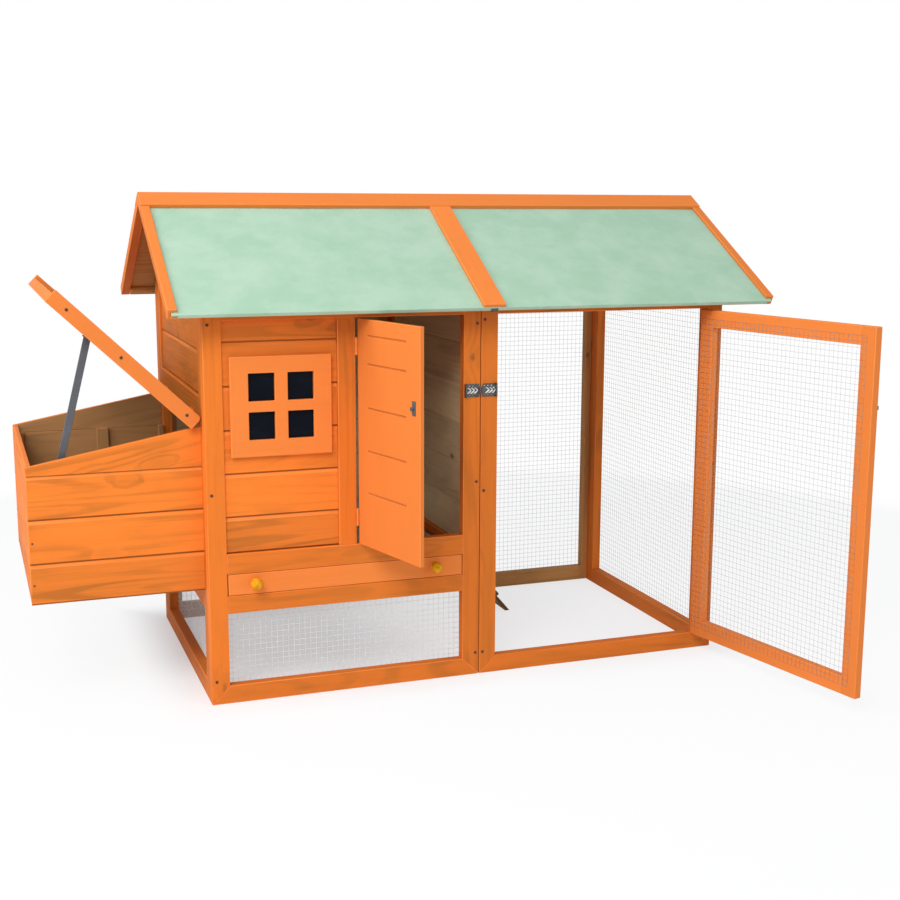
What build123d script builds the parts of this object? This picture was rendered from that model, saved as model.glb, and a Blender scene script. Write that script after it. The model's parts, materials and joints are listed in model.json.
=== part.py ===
from build123d import *
import os
from math import atan2, cos, degrees, hypot, radians, sin, tan

# Wooden chicken coop: a henhouse on the left, a wire run on the right, one gable roof over both.
# Millimetres, +Z up. While it is built, X runs right from the house's left face, Y runs back from
# the front face and Z rises from the ground; the finished pieces are then moved as one so that the
# origin is the middle of the bottom of the part's box, with both doors and the nest lid open.

# Overall sizes
house_length = 620.0
run_length = 613.0
frame_gap = 2.0
frame_depth = 680.0
wall_height = 882.0
roof_pitch = 30.0
eave_overhang = 60.0
gable_overhang_left = 78.0
gable_overhang_right = 100.0

# Frame timber
post_width = 40.0
frame_thickness = 24.0
rail_height = 40.0
skirt_top = 203.0
tray_level = 242.0
sill_bottom = 290.0
sill_top = 335.0
door_head = 836.0
partition_thickness = 26.0

# Wall boards
board_pitch = 94.0
board_thickness = 12.0
board_setback = 6.0
board_chamfer = 3.0
board_top_bevel = 7.0
front_board_line = 413.0
side_board_line = 765.0
nest_board_line = 334.0

# Front wall: boarded bay with its window, then the doorway
board_bay_width = 250.0
window_width = 220.0
window_height = 215.0
window_bottom = 545.0
window_trim_thickness = 10.0
window_rebate = 8.0
pane_width = 57.0
pane_height = 60.0
pane_thickness = 3.0
muntin_upright = 28.0
muntin_level = 23.0

# Doors
house_door_thickness = 10.0
run_door_thickness = 18.0
door_clearance = 1.5
hinge_side_gap = 2.5
run_door_member = 40.0
house_door_open = 75.5
run_door_open = 101.0
door_groove_heights = (457.0, 550.0, 644.0, 739.0, 800.0)
door_groove_hinge_margin = 40.0
door_groove_free_margin = 52.0
door_groove_width = 4.0
door_groove_depth = 2.0

# Butt hinges
hinge_height = 38.0
hinge_knuckle_radius = 2.6
hinge_pin_radius = 1.3
hinge_pin_clearance = 0.05
hinge_leaf_thickness = 1.0
hinge_leaf_width = 9.0
hinge_knuckle_gap = 0.4
hinge_end_gap = 0.3
lid_hinge_face_gap = 0.3
house_hinge_inset = 60.0
run_hinge_inset = 110.0
lid_hinge_inset = 110.0

# Door latches: a screwed base, a swinging loop and a hook on the door
latch_height = 666.0
latch_base_width = 34.0
latch_base_height = 30.0
latch_plate_thickness = 1.5
latch_edge_inset = 4.5
latch_axis_offset = 4.3
latch_knuckle_radius = 2.4
latch_pin_radius = 1.2
latch_ear_height = 5.0
latch_loop_reach = 35.0
latch_wire = 3.0
house_catch_distance = 22.0
run_catch_distance = 8.0
catch_plate_width = 12.0
catch_post_depth = 9.0
catch_post_width = 4.0
catch_post_height = 4.0
catch_lip_height = 8.0

# Wire netting
net_thickness = 1.2
net_wire = 2.0
net_cell = 41.0
net_lap = 18.0
door_net_hinge_lap = 36.0
door_net_free_lap = 18.0
door_net_rail_lap = 20.0

# Droppings tray
tray_clearance = 2.0
tray_front_thickness = 18.0
tray_wall = 0.8
tray_height = 40.0
tray_back_clearance = 6.0
tray_bottom_lift = 2.0
runner_bearing = 18.0
runner_height = 20.0
runner_clearance = 0.3
knob_radius = 13.0
knob_neck_radius = 5.0
knob_neck_length = 6.0
knob_inset_left = 58.0
knob_inset_right = 67.0
knob_rise = 28.0

# Nest box
nest_length = 362.0
nest_side_inset = 45.0
nest_bottom = 248.0
nest_outer_height = 541.0
nest_wall_height = 609.0
nest_floor_thickness = 10.0
nest_batten = 13.0
nest_batten_drop = 16.0
nest_cleat_width = 28.0
nest_cleat_centre = 150.0
nest_head_height = 62.0
divider_height = 142.0

# Nest lid and its prop
lid_length = 400.0
lid_seat_gap = 0.5
lid_wall_gap = 3.0
lid_side_gap = 2.0
lid_panel_thickness = 8.0
lid_felt_thickness = 2.0
lid_batten_width = 14.0
lid_batten_depth = 12.0
lid_batten_rise = 10.0
lid_batten_round = 9.0
lid_screw_places = (31.0, 213.0, 358.0)
lid_raise = 44.0
prop_pivot_distance = 286.5
prop_pivot_drop = 8.0
prop_width = 15.0
prop_thickness = 6.0
prop_pin_radius = 2.5
prop_pin_clearance = 0.05
prop_wall_gap = 14.0
prop_peg_distance = 290.5
prop_peg_height = 540.0
prop_peg_gap = 0.3
prop_bracket_width = 14.0
prop_bracket_thickness = 12.0

# Roof
roof_panel_thickness = 8.0
roof_felt_thickness = 2.0
felt_fold_depth = 5.0
ridge_cap_width = 44.0
ridge_cap_thickness = 10.0
barge_width = 20.0
barge_web = 8.0
barge_lip = 6.0
barge_cap = 7.0
barge_setback = 8.0
cover_strip_width = 52.0
cover_strip_thickness = 8.0
roof_joint_offset = 6.0
eave_batten_width = 20.0
eave_batten_depth = 12.0
eave_batten_setback = 20.0
ridge_batten_width = 30.0
ridge_batten_depth = 16.0
ridge_batten_drop = 10.0
joint_clip_width = 16.0
joint_clip_thickness = 2.0

# Pop hole, ramp and perch
pop_hole_width = 186.0
pop_hole_boards = 3
ramp_run = 246.0
ramp_width = 170.0
ramp_thickness = 10.0
ramp_cleat_count = 5
ramp_cleat_width = 14.0
ramp_cleat_height = 8.0
ramp_side_gap = 8.0
perch_size = 30.0
perch_distance = 200.0
perch_height = 470.0
perch_seat_width = 44.0
perch_seat_depth = 22.0
perch_seat_height = 26.0

# Screw heads
screw_radius = 3.5
screw_head_height = 1.2
screw_edge_inset = 11.0
screw_seam_inset = 8.0
screw_low = 52.0
screw_mids = (466.0, 457.0, 435.0, 460.0)
screw_highs = (828.0, 816.0, 824.0, 824.0)
nail_inset = 7.0
nailed_boards = 2
nail_radius = 2.2

# Places worked out from the sizes above
run_left = house_length + frame_gap
total_length = run_left + run_length
inner_back = frame_depth - frame_thickness
pitch = radians(roof_pitch)
middle = frame_depth / 2
ridge_under = wall_height + middle * tan(pitch)
roof_left = -gable_overhang_left
roof_right = total_length + gable_overhang_right
eave_along = (middle + eave_overhang) / cos(pitch)
seam = house_length + frame_gap / 2
stile_left = post_width + board_bay_width
doorway_left = stile_left + post_width
doorway_right = house_length - post_width
run_doorway_left = run_left + post_width
run_doorway_right = total_length - post_width
side_front = frame_thickness + post_width
side_back = inner_back - post_width
partition_left = seam - partition_thickness / 2
partition_right = seam + partition_thickness / 2
nest_front = nest_side_inset
nest_back = frame_depth - nest_side_inset
lid_slope = atan2(nest_wall_height - nest_outer_height, nest_length)
lid_open = lid_raise + degrees(lid_slope)
lid_top = lid_panel_thickness + lid_felt_thickness
house_hinge_axis = (doorway_left + hinge_side_gap / 2, -hinge_knuckle_radius)
run_hinge_axis = (run_doorway_right - hinge_side_gap / 2, -hinge_knuckle_radius)
house_latch_axis = (doorway_right + latch_edge_inset, -latch_axis_offset)
run_latch_axis = (run_doorway_left - latch_edge_inset, -latch_axis_offset)


def block(x, y, z):
    """A bar that fills the given ranges along X, Y and Z."""
    size = Box(x[1] - x[0], y[1] - y[0], z[1] - z[0])
    return Pos((x[0] + x[1]) / 2, (y[0] + y[1]) / 2, (z[0] + z[1]) / 2) * size


def slab_along_y(points, y):
    """An outline of (x, z) points, drawn out from y[0] to y[1]."""
    outline = make_face(Polyline(*[(px, y[0], pz) for px, pz in points], close=True))
    return extrude(outline, amount=y[1] - y[0], dir=(0, 1, 0))


def slab_along_x(points, x):
    """An outline of (y, z) points, drawn out from x[0] to x[1]."""
    outline = make_face(Polyline(*[(x[0], py, pz) for py, pz in points], close=True))
    return extrude(outline, amount=x[1] - x[0], dir=(1, 0, 0))


def rod(start, end, radius):
    """A round bar between two points."""
    axis = Vector(*end) - Vector(*start)
    place = Plane(origin=start, z_dir=axis).location
    return place * Cylinder(radius, axis.length, align=(Align.CENTER, Align.CENTER, Align.MIN))


def board_section(outer, inner, z):
    """Outline of one wall board: both outer edges are eased, the upper one longer, so neighbours meet in a groove."""
    ease = board_chamfer if outer < inner else -board_chamfer
    return [
        (outer + ease, z[0]),
        (inner, z[0]),
        (inner, z[1]),
        (outer + ease, z[1]),
        (outer, z[1] - board_top_bevel),
        (outer, z[0] + board_chamfer),
    ]


def board_levels(bottom, top, line):
    """The heights of the board edges between two levels, one of which falls at the given line."""
    first = line - board_pitch * int((line - bottom) / board_pitch)
    count = int((top - first) / board_pitch) + 1
    inner = [first + board_pitch * k for k in range(count)]
    least = board_top_bevel + 2 * board_chamfer
    levels = [bottom] + [v for v in inner if bottom + least < v < top - least]
    return levels + [top]


def boards_along_x(x, outer, inner, bottom, top, line):
    """Level boards between two heights, running along X."""
    levels = board_levels(bottom, top, line)
    return [slab_along_x(board_section(outer, inner, z), x) for z in zip(levels, levels[1:])]


def boards_along_y(y, outer, inner, bottom, top, line):
    """Level boards between two heights, running along Y."""
    levels = board_levels(bottom, top, line)
    return [slab_along_y(board_section(outer, inner, z), y) for z in zip(levels, levels[1:])]


def roof_under(y):
    """Height of the roof's underside over a place in the depth."""
    return ridge_under - abs(y - middle) * tan(pitch)


def under_roof(x, y, bottom):
    """The space between two depths, from a level up to the roof's underside."""
    points = [(y[0], bottom), (y[1], bottom), (y[1], roof_under(y[1]))]
    if y[0] < middle < y[1]:
        points.append((middle, ridge_under))
    points.append((y[0], roof_under(y[0])))
    return slab_along_x(points, x)


def slope_point(side, along, lift):
    """A (y, z) point on a roof slope: along from the ridge, lifted off the underside."""
    out = along * cos(pitch) + lift * sin(pitch)
    return middle + side * out, ridge_under - along * sin(pitch) + lift * cos(pitch)


def slope_outline(side, along, lift):
    """Outline of a piece lying on a slope; one that starts at the ridge is cut upright there."""
    start, end = along
    low, high = lift
    if start == 0:
        head = [(middle, ridge_under + low / cos(pitch)), (middle, ridge_under + high / cos(pitch))]
    else:
        head = [slope_point(side, start, low), slope_point(side, start, high)]
    return [head[0], slope_point(side, end, low), slope_point(side, end, high), head[1]]


def lid_point(along, lift):
    """An (x, z) point on the shut lid: along from the house wall, lifted off its underside."""
    x = -along * cos(lid_slope) - lift * sin(lid_slope)
    z = nest_wall_height + lid_seat_gap - along * sin(lid_slope) + lift * cos(lid_slope)
    return x, z


lid_pin_lift = hinge_knuckle_radius + lid_hinge_face_gap
lid_pin_along = (lid_pin_lift - (lid_top + lid_pin_lift) * sin(lid_slope)) / cos(lid_slope)
lid_axis = lid_point(lid_pin_along, lid_top + lid_pin_lift)


def lid_piece(along, lift, y):
    """A bar of the lid, in its shut place."""
    outline = [
        lid_point(along[0], lift[0]),
        lid_point(along[1], lift[0]),
        lid_point(along[1], lift[1]),
        lid_point(along[0], lift[1]),
    ]
    return slab_along_y(outline, y)


def raised(piece):
    """A piece of the shut lid, turned up to where the prop holds it."""
    return piece.rotate(Axis((lid_axis[0], 0, lid_axis[1]), (0, 1, 0)), lid_open)


def turned(piece, axis, angle):
    """A piece turned about an upright axis."""
    return piece.rotate(Axis((axis[0], axis[1], 0), (0, 0, 1)), angle)


def house_door_swung(piece):
    """A piece of the shut house door, turned out to where it stands open."""
    return turned(piece, house_hinge_axis, -house_door_open)


def run_door_swung(piece):
    """A piece of the shut run door, turned out to where it stands open."""
    return turned(piece, run_hinge_axis, run_door_open)


def hinge_leaf(angle, offset, spans):
    """A hinge leaf with its pin along Z: a plate at an angle, and its own knuckles over the spans."""
    height = (-hinge_height / 2, hinge_height / 2)
    inner = hinge_knuckle_radius + hinge_knuckle_gap
    plate = (offset, offset + hinge_leaf_thickness)
    bore = hinge_pin_radius + hinge_pin_clearance
    tab_start = 0.0 if min(abs(plate[0]), abs(plate[1])) > bore else bore + 0.25
    leaf = block((inner, inner + hinge_leaf_width), plate, height)
    for span in spans:
        ring = rod((0, 0, span[0]), (0, 0, span[1]), hinge_knuckle_radius)
        ring -= rod((0, 0, span[0] - 1), (0, 0, span[1] + 1), bore)
        leaf += ring + block((tab_start, inner), plate, span)
    return leaf.rotate(Axis.Z, angle)


def hinge_spans():
    """The knuckle heights of the fixed leaf (two outer) and of the moving leaf (one between)."""
    third = hinge_height / 6
    outer = [(-hinge_height / 2, -third - hinge_end_gap), (third + hinge_end_gap, hinge_height / 2)]
    return outer, [(-third, third)]


def door_hinge(axis, height, hand):
    """Fixed leaf, moving leaf and pin of an upright hinge between a post and a shut door."""
    outer, inner = hinge_spans()
    near = hinge_side_gap / 2 - hinge_leaf_thickness
    far = -hinge_side_gap / 2
    fixed = hinge_leaf(90, near if hand > 0 else far, outer)
    moving = hinge_leaf(90, far if hand > 0 else near, inner)
    pin = rod((0, 0, -hinge_height / 2), (0, 0, hinge_height / 2), hinge_pin_radius)
    place = Pos(axis[0], axis[1], height)
    return place * fixed, place * moving, place * pin


def lid_hinge(y):
    """Wall leaf, lid leaf and pin of one lid hinge, shut; its pin lies along Y."""
    outer, inner = hinge_spans()
    wall_leaf = hinge_leaf(0, lid_pin_lift - hinge_leaf_thickness, outer)
    lid_leaf = hinge_leaf(-90 - degrees(lid_slope), -lid_pin_lift, inner)
    pin = rod((0, 0, -hinge_height / 2), (0, 0, hinge_height / 2), hinge_pin_radius)
    place = Plane(origin=(lid_axis[0], y, lid_axis[1]), x_dir=(0, 0, 1), z_dir=(0, 1, 0)).location
    return place * wall_leaf, place * lid_leaf, place * pin


def netting(width, height):
    """A flat holed sheet in XY, centred on the origin: one face with its gaps cut through."""
    across = max(1, round((width - net_wire) / net_cell))
    up = max(1, round((height - net_wire) / net_cell))
    gap_x = (width - net_wire * (across + 1)) / across
    gap_y = (height - net_wire * (up + 1)) / up
    sheet = Rectangle(width, height)
    sheet -= GridLocations(gap_x + net_wire, gap_y + net_wire, across, up) * Rectangle(gap_x, gap_y)
    return extrude(sheet, amount=net_thickness)


def net_facing_y(x, y, z):
    """Netting that fills ranges of X and Z, lying just behind a depth."""
    sheet = Rot(90, 0, 0) * netting(x[1] - x[0], z[1] - z[0])
    return Pos((x[0] + x[1]) / 2, y + net_thickness, (z[0] + z[1]) / 2) * sheet


def net_facing_x(x, y, z):
    """Netting that fills ranges of Y and Z, lying just right of a place in X."""
    sheet = Rot(0, 0, 90) * Rot(90, 0, 0) * netting(y[1] - y[0], z[1] - z[0])
    return Pos(x, (y[0] + y[1]) / 2, (z[0] + z[1]) / 2) * sheet


def front_posts(left, length):
    """Left and right posts of a front frame, cut at 45 degrees where they meet the bottom rail."""
    right = left + length
    depth = (0, frame_thickness)
    posts = []
    for edge, inner in ((left, left + post_width), (right, right - post_width)):
        outline = [(edge, 0), (inner, rail_height), (inner, wall_height), (edge, wall_height)]
        posts.append(slab_along_y(outline, depth))
    return posts


def mitred_bottom_rail(left, length):
    """Bottom rail of a front frame, between the mitred feet of its posts."""
    right = left + length
    outline = [(left, 0), (right, 0), (right - post_width, rail_height), (left + post_width, rail_height)]
    return slab_along_y(outline, (0, frame_thickness))


def build_front():
    """The two front frames, the boarded bay and its window."""
    depth = (0, frame_thickness)
    house_span = (post_width, doorway_right)
    run_span = (run_doorway_left, run_doorway_right)
    head = (door_head, wall_height)
    left_post, house_right = front_posts(0, house_length)
    run_left_post, right_post = front_posts(run_left, run_length)

    bay = (post_width, stile_left)
    bay_middle = (bay[0] + bay[1]) / 2
    faces = (board_setback, board_setback + board_thickness)
    boards = boards_along_x(bay, faces[0], faces[1], sill_top, door_head, front_board_line)

    window_middle = window_bottom + window_height / 2
    lights_width = 2 * pane_width + muntin_upright
    lights_height = 2 * pane_height + muntin_level
    half_width = lights_width / 2 + window_rebate
    half_height = lights_height / 2 + window_rebate
    hole_x = (bay_middle - half_width, bay_middle + half_width)
    hole_z = (window_middle - half_height, window_middle + half_height)
    hole = block(hole_x, (faces[0] - 1, faces[1] + 1), hole_z)
    cut_boards = []
    for board in boards:
        cut_boards.extend((board - hole).solids())

    trim_x = (bay_middle - window_width / 2, bay_middle + window_width / 2)
    trim_y = (board_setback - window_trim_thickness, board_setback)
    trim = block(trim_x, trim_y, (window_bottom, window_bottom + window_height))
    for side in (-1, 1):
        for level in (-1, 1):
            centre_x = bay_middle + side * (pane_width + muntin_upright) / 2
            centre_z = window_middle + level * (pane_height + muntin_level) / 2
            light = Box(pane_width, 3 * window_trim_thickness, pane_height)
            trim -= Pos(centre_x, board_setback, centre_z) * light
    pane = block(hole_x, (faces[0], faces[0] + pane_thickness), hole_z)

    return {
        "front_posts": [left_post, house_right, run_left_post, right_post],
        "door_stile": [block((stile_left, doorway_left), depth, (sill_top, door_head))],
        "front_middle_rails": [
            block(house_span, depth, (sill_bottom, sill_top)),
            block(house_span, depth, (skirt_top, tray_level)),
        ],
        "front_bottom_rails": [mitred_bottom_rail(0, house_length), mitred_bottom_rail(run_left, run_length)],
        "front_top_rails": [block(house_span, depth, head), block(run_span, depth, head)],
        "front_wall_boards": cut_boards,
        "window_trim": [trim],
        "window_pane": [pane],
    }


def build_back():
    """The two back frames and the house's back boards."""
    depth = (inner_back, frame_depth)
    house_span = (post_width, doorway_right)
    run_span = (run_doorway_left, run_doorway_right)
    upright = (0, wall_height)
    posts = [
        block((0, post_width), depth, upright),
        block((doorway_right, house_length), depth, upright),
        block((run_left, run_doorway_left), depth, upright),
        block((run_doorway_right, total_length), depth, upright),
    ]
    rails = []
    for span in (house_span, run_span):
        rails.append(block(span, depth, (0, rail_height)))
        rails.append(block(span, depth, (door_head, wall_height)))
    rails.append(block(house_span, depth, (skirt_top, tray_level)))
    outer = frame_depth - board_setback
    inner = outer - board_thickness
    boards = boards_along_x(house_span, outer, inner, tray_level, door_head, front_board_line)
    return {"back_posts": posts, "back_rails": rails, "back_wall_boards": boards}


def side_stiles(x, foot):
    """Front and back stiles of an end wall from a height upwards, cut to the roof's slope."""
    return [
        under_roof(x, (frame_thickness, side_front), foot),
        under_roof(x, (side_back, inner_back), foot),
    ]


def gable_boards(outer, inner, bottom, line):
    """Level boards that fill an end wall from a height up to the roof."""
    span = (side_front, side_back)
    x = (min(outer, inner) - 1, max(outer, inner) + 1)
    space = under_roof(x, span, bottom)
    boards = boards_along_y(span, outer, inner, bottom, ridge_under, line)
    return [piece for board in boards for piece in (board & space).solids()]


def build_ends():
    """The nest-side wall, the run's far end and the partition between house and run."""
    left = (0, frame_thickness)
    right = (total_length - frame_thickness, total_length)
    middle_x = (partition_left, partition_right)
    span = (side_front, side_back)
    head_top = nest_wall_height + nest_head_height
    side_rails = [
        block(left, span, (0, rail_height)),
        block(left, span, (skirt_top, sill_bottom)),
        block(left, span, (nest_wall_height, head_top)),
        block(right, span, (0, rail_height)),
        block(right, span, (door_head, wall_height)),
        block(middle_x, span, (skirt_top, sill_bottom)),
    ]
    left_boards = gable_boards(board_setback, board_setback + board_thickness, head_top, side_board_line)
    right_face = total_length - board_setback
    right_boards = gable_boards(right_face, right_face - board_thickness, wall_height, side_board_line)

    partition_face = seam + board_thickness / 2
    hole_top = sill_bottom + pop_hole_boards * board_pitch
    hole = block(middle_x, (side_back - pop_hole_width, side_back), (sill_bottom, hole_top))
    partition_line = sill_bottom + board_pitch
    partition_boards = []
    for board in gable_boards(partition_face, partition_face - board_thickness, sill_bottom, partition_line):
        partition_boards.extend((board - hole).solids())

    return {
        "side_stiles": side_stiles(left, 0) + side_stiles(middle_x, skirt_top) + side_stiles(right, 0),
        "side_rails": side_rails,
        "left_wall_boards": left_boards,
        "partition_boards": partition_boards,
        "right_gable_boards": right_boards,
    }


def build_nets():
    """The fixed wire panels: run back, run end, and round the space under the house."""
    skirt = (rail_height - net_lap, skirt_top + net_lap)
    tall = (rail_height - net_lap, door_head + net_lap)
    house_x = (frame_thickness + net_thickness, partition_left - net_thickness)
    run_x = (run_doorway_left - net_lap, run_doorway_right + net_lap)
    side_y = (side_front - net_lap, side_back + net_lap)
    return {
        "run_back_net": [net_facing_y(run_x, frame_depth, tall)],
        "run_end_net": [net_facing_x(total_length, side_y, tall)],
        "skirt_nets": [
            net_facing_y(house_x, frame_thickness, skirt),
            net_facing_y(house_x, inner_back - net_thickness, skirt),
            net_facing_x(frame_thickness, side_y, skirt),
        ],
    }


def build_roof():
    """Roof panels, felt, ridge boards, barge boards, cover strips and the battens under them."""
    joint = seam + roof_joint_offset
    web_left = roof_left + barge_web
    web_right = roof_right - barge_web
    halves = [(web_left, joint), (joint, web_right)]
    folds = [(roof_left + barge_width, joint), (joint, roof_right - barge_width)]
    panel = (0, roof_panel_thickness)
    felt = (roof_panel_thickness, roof_panel_thickness + roof_felt_thickness)
    over_edge = (roof_panel_thickness - felt_fold_depth, roof_panel_thickness)
    on_felt = felt[1]
    nodes = {"roof_panels": [], "roof_felts": [], "ridge_boards": [], "barge_boards": [],
             "cover_strips": [], "roof_battens": [], "roof_joint_clips": []}
    for side in (-1, 1):
        whole = slope_outline(side, (0, eave_along), panel)
        felt_end = eave_along + roof_felt_thickness
        cover = slope_outline(side, (0, felt_end), felt)
        fold = slope_outline(side, (eave_along, felt_end), over_edge)
        for half, folded in zip(halves, folds):
            nodes["roof_panels"].append(slab_along_x(whole, half))
            nodes["roof_felts"].append(slab_along_x(cover, half) + slab_along_x(fold, folded))
        cap = slope_outline(side, (0, ridge_cap_width), (on_felt, on_felt + ridge_cap_thickness))
        nodes["ridge_boards"].append(slab_along_x(cap, (roof_left, roof_right)))
        strip_lift = (on_felt, on_felt + cover_strip_thickness)
        strip = slope_outline(side, (ridge_cap_width, eave_along), strip_lift)
        strip_x = (joint - cover_strip_width / 2, joint + cover_strip_width / 2)
        nodes["cover_strips"].append(slab_along_x(strip, strip_x))

        tail = eave_along - barge_setback
        web = slope_outline(side, (0, tail), (-barge_lip, on_felt))
        lip = slope_outline(side, (0, tail), (-barge_lip, 0))
        edge = slope_outline(side, (ridge_cap_width, tail), (on_felt, on_felt + barge_cap))
        for x, web_x in (((roof_left, roof_left + barge_width), (roof_left, web_left)),
                         ((roof_right - barge_width, roof_right), (web_right, roof_right))):
            barge = slab_along_x(web, web_x) + slab_along_x(lip, x) + slab_along_x(edge, x)
            nodes["barge_boards"].append(barge)

        eave_span = (eave_along - eave_batten_setback - eave_batten_width, eave_along - eave_batten_setback)
        eave_bar = slope_outline(side, eave_span, (-eave_batten_depth, 0))
        ridge_span = (ridge_batten_drop, ridge_batten_drop + ridge_batten_width)
        ridge_bar = slope_outline(side, ridge_span, (-ridge_batten_depth, 0))
        for x in ((roof_left + barge_width, joint), (joint, roof_right - barge_width)):
            nodes["roof_battens"].append(slab_along_x(eave_bar, x))
        for x in ((frame_thickness, partition_left), (partition_right, total_length - frame_thickness)):
            nodes["roof_battens"].append(slab_along_x(ridge_bar, x))

        clip_x = (joint - joint_clip_width / 2, joint + joint_clip_width / 2)
        clip = slope_outline(side, (felt_end, felt_end + joint_clip_thickness), panel)
        nodes["roof_joint_clips"].append(slab_along_x(clip, clip_x))
    return nodes


def build_house_door():
    """The house door leaf with its level grooves, and the two hinges that carry it."""
    x = (doorway_left + hinge_side_gap, doorway_right - door_clearance)
    z = (sill_top + door_clearance, door_head - door_clearance)
    leaf = block(x, (0, house_door_thickness), z)
    groove_x = (x[0] + door_groove_hinge_margin, x[1] - door_groove_free_margin)
    for height in door_groove_heights:
        groove_z = (height - door_groove_width / 2, height + door_groove_width / 2)
        leaf -= block(groove_x, (-1, door_groove_depth), groove_z)
    hinges = [door_hinge(house_hinge_axis, height, 1)
              for height in (z[0] + house_hinge_inset, z[1] - house_hinge_inset)]
    return leaf, hinges


def build_run_door():
    """The run door's frame and netting, and the two hinges that carry it."""
    x = (run_doorway_left + door_clearance, run_doorway_right - hinge_side_gap)
    y = (0, run_door_thickness)
    z = (rail_height + door_clearance, door_head - door_clearance)
    inner_x = (x[0] + run_door_member, x[1] - run_door_member)
    inner_z = (z[0] + run_door_member, z[1] - run_door_member)
    stiles = [block((x[0], inner_x[0]), y, z), block((inner_x[1], x[1]), y, z)]
    rails = [block(inner_x, y, (z[0], inner_z[0])), block(inner_x, y, (inner_z[1], z[1]))]
    net_x = (inner_x[0] - door_net_free_lap, inner_x[1] + door_net_hinge_lap)
    net_z = (inner_z[0] - door_net_rail_lap, inner_z[1] + door_net_rail_lap)
    net = net_facing_y(net_x, run_door_thickness, net_z)
    hinges = [door_hinge(run_hinge_axis, height, -1)
              for height in (z[0] + run_hinge_inset, z[1] - run_hinge_inset)]
    return stiles, rails, net, hinges


def latch_base(axis, hand):
    """A latch's screwed plate and the two ears that carry its pin; the plate lies to the given hand."""
    half = latch_base_height / 2
    near = axis[0] - hand * latch_knuckle_radius
    x = sorted((near, near + hand * latch_base_width))
    base = block(x, (-latch_plate_thickness, 0), (latch_height - half, latch_height + half))
    for low in (latch_height - half, latch_height + half - latch_ear_height):
        span = (low, low + latch_ear_height)
        ear = rod((axis[0], axis[1], span[0]), (axis[0], axis[1], span[1]), latch_knuckle_radius)
        ear_x = (axis[0] - latch_knuckle_radius, axis[0] + latch_knuckle_radius)
        ear += block(ear_x, (axis[1], -latch_plate_thickness), span)
        bore = latch_pin_radius + hinge_pin_clearance
        base += ear - rod((axis[0], axis[1], low - 1), (axis[0], axis[1], low + latch_ear_height + 1), bore)
    return base


def latch_pin(axis):
    """The pin through a latch's ears and its loop."""
    half = latch_base_height / 2
    foot = (axis[0], axis[1], latch_height - half)
    head = (axis[0], axis[1], latch_height + half)
    return rod(foot, head, latch_pin_radius)


def latch_loop(axis, hand):
    """The swinging loop, folded back over its base to the given hand."""
    half = latch_base_height / 2 - latch_ear_height - hinge_end_gap
    z = (latch_height - half, latch_height + half)
    y = (axis[1] - latch_wire / 2, axis[1] + latch_wire / 2)
    reach = latch_loop_reach

    def along(start, end):
        return sorted((axis[0] + hand * start, axis[0] + hand * end))

    loop = rod((axis[0], axis[1], z[0]), (axis[0], axis[1], z[1]), latch_knuckle_radius)
    for low in (z[0], z[1] - latch_wire):
        loop += block(along(0, reach), y, (low, low + latch_wire))
    loop += block(along(reach - latch_wire, reach), y, z)
    bore = latch_pin_radius + hinge_pin_clearance
    return loop - rod((axis[0], axis[1], z[0] - 1), (axis[0], axis[1], z[1] + 1), bore)


def door_catch(x):
    """The hook plate on a shut door's face: its post stands out and its lip turns up."""
    half = latch_base_height / 2
    plate_x = (x - catch_plate_width / 2, x + catch_plate_width / 2)
    post_x = (x - catch_post_width / 2, x + catch_post_width / 2)
    low = latch_height - catch_lip_height / 2
    plate = block(plate_x, (-latch_plate_thickness, 0), (latch_height - half, latch_height + half))
    post = block(post_x, (-catch_post_depth, 0), (low, low + catch_post_height))
    lip_y = (-catch_post_depth, latch_plate_thickness - catch_post_depth)
    lip = block(post_x, lip_y, (low, low + catch_lip_height))
    return plate + post + lip


def build_tray():
    """The sheet-metal droppings tray with its wooden front and knobs, and the runners under it."""
    x = (post_width + tray_clearance, doorway_right - tray_clearance)
    bottom = tray_level + tray_bottom_lift
    back = inner_back - tray_back_clearance
    front = block(x, (0, tray_front_thickness), (tray_level + 1, sill_bottom - 1))
    pan = block(x, (tray_front_thickness, back), (bottom, bottom + tray_height))
    inside = block((x[0] + tray_wall, x[1] - tray_wall), (tray_front_thickness + tray_wall, back - tray_wall),
                   (bottom + tray_wall, bottom + 2 * tray_height))
    knob_height = tray_level + knob_rise
    knobs = []
    for place in (x[0] + knob_inset_left, x[1] - knob_inset_right):
        centre = (place, -knob_neck_length - knob_radius, knob_height)
        neck = rod(centre, (place, 0, knob_height), knob_neck_radius)
        knobs.append(Pos(*centre) * Sphere(knob_radius) + neck)
    top = bottom - runner_clearance
    depth = (frame_thickness + net_thickness, inner_back - net_thickness)
    runners = [
        block((frame_thickness, x[0] + runner_bearing), depth, (top - runner_height, top)),
        block((x[1] - runner_bearing, partition_left), depth, (top - runner_height, top)),
    ]
    return front, pan - inside, knobs, runners


def nest_side(y):
    """Boards of one sloping-topped side of the nest box, outer face first."""
    levels = board_levels(nest_bottom, nest_outer_height, nest_board_line)
    boards = []
    for z in zip(levels[:-2], levels[1:-1]):
        boards.append(slab_along_x(board_section(y[0], y[1], z), (-nest_length, 0)))
    low = levels[-2]
    top = [(-nest_length, low), (0, low), (0, nest_wall_height), (-nest_length, nest_outer_height)]
    boards.append(slab_along_y(top, sorted(y)))
    return boards


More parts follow.
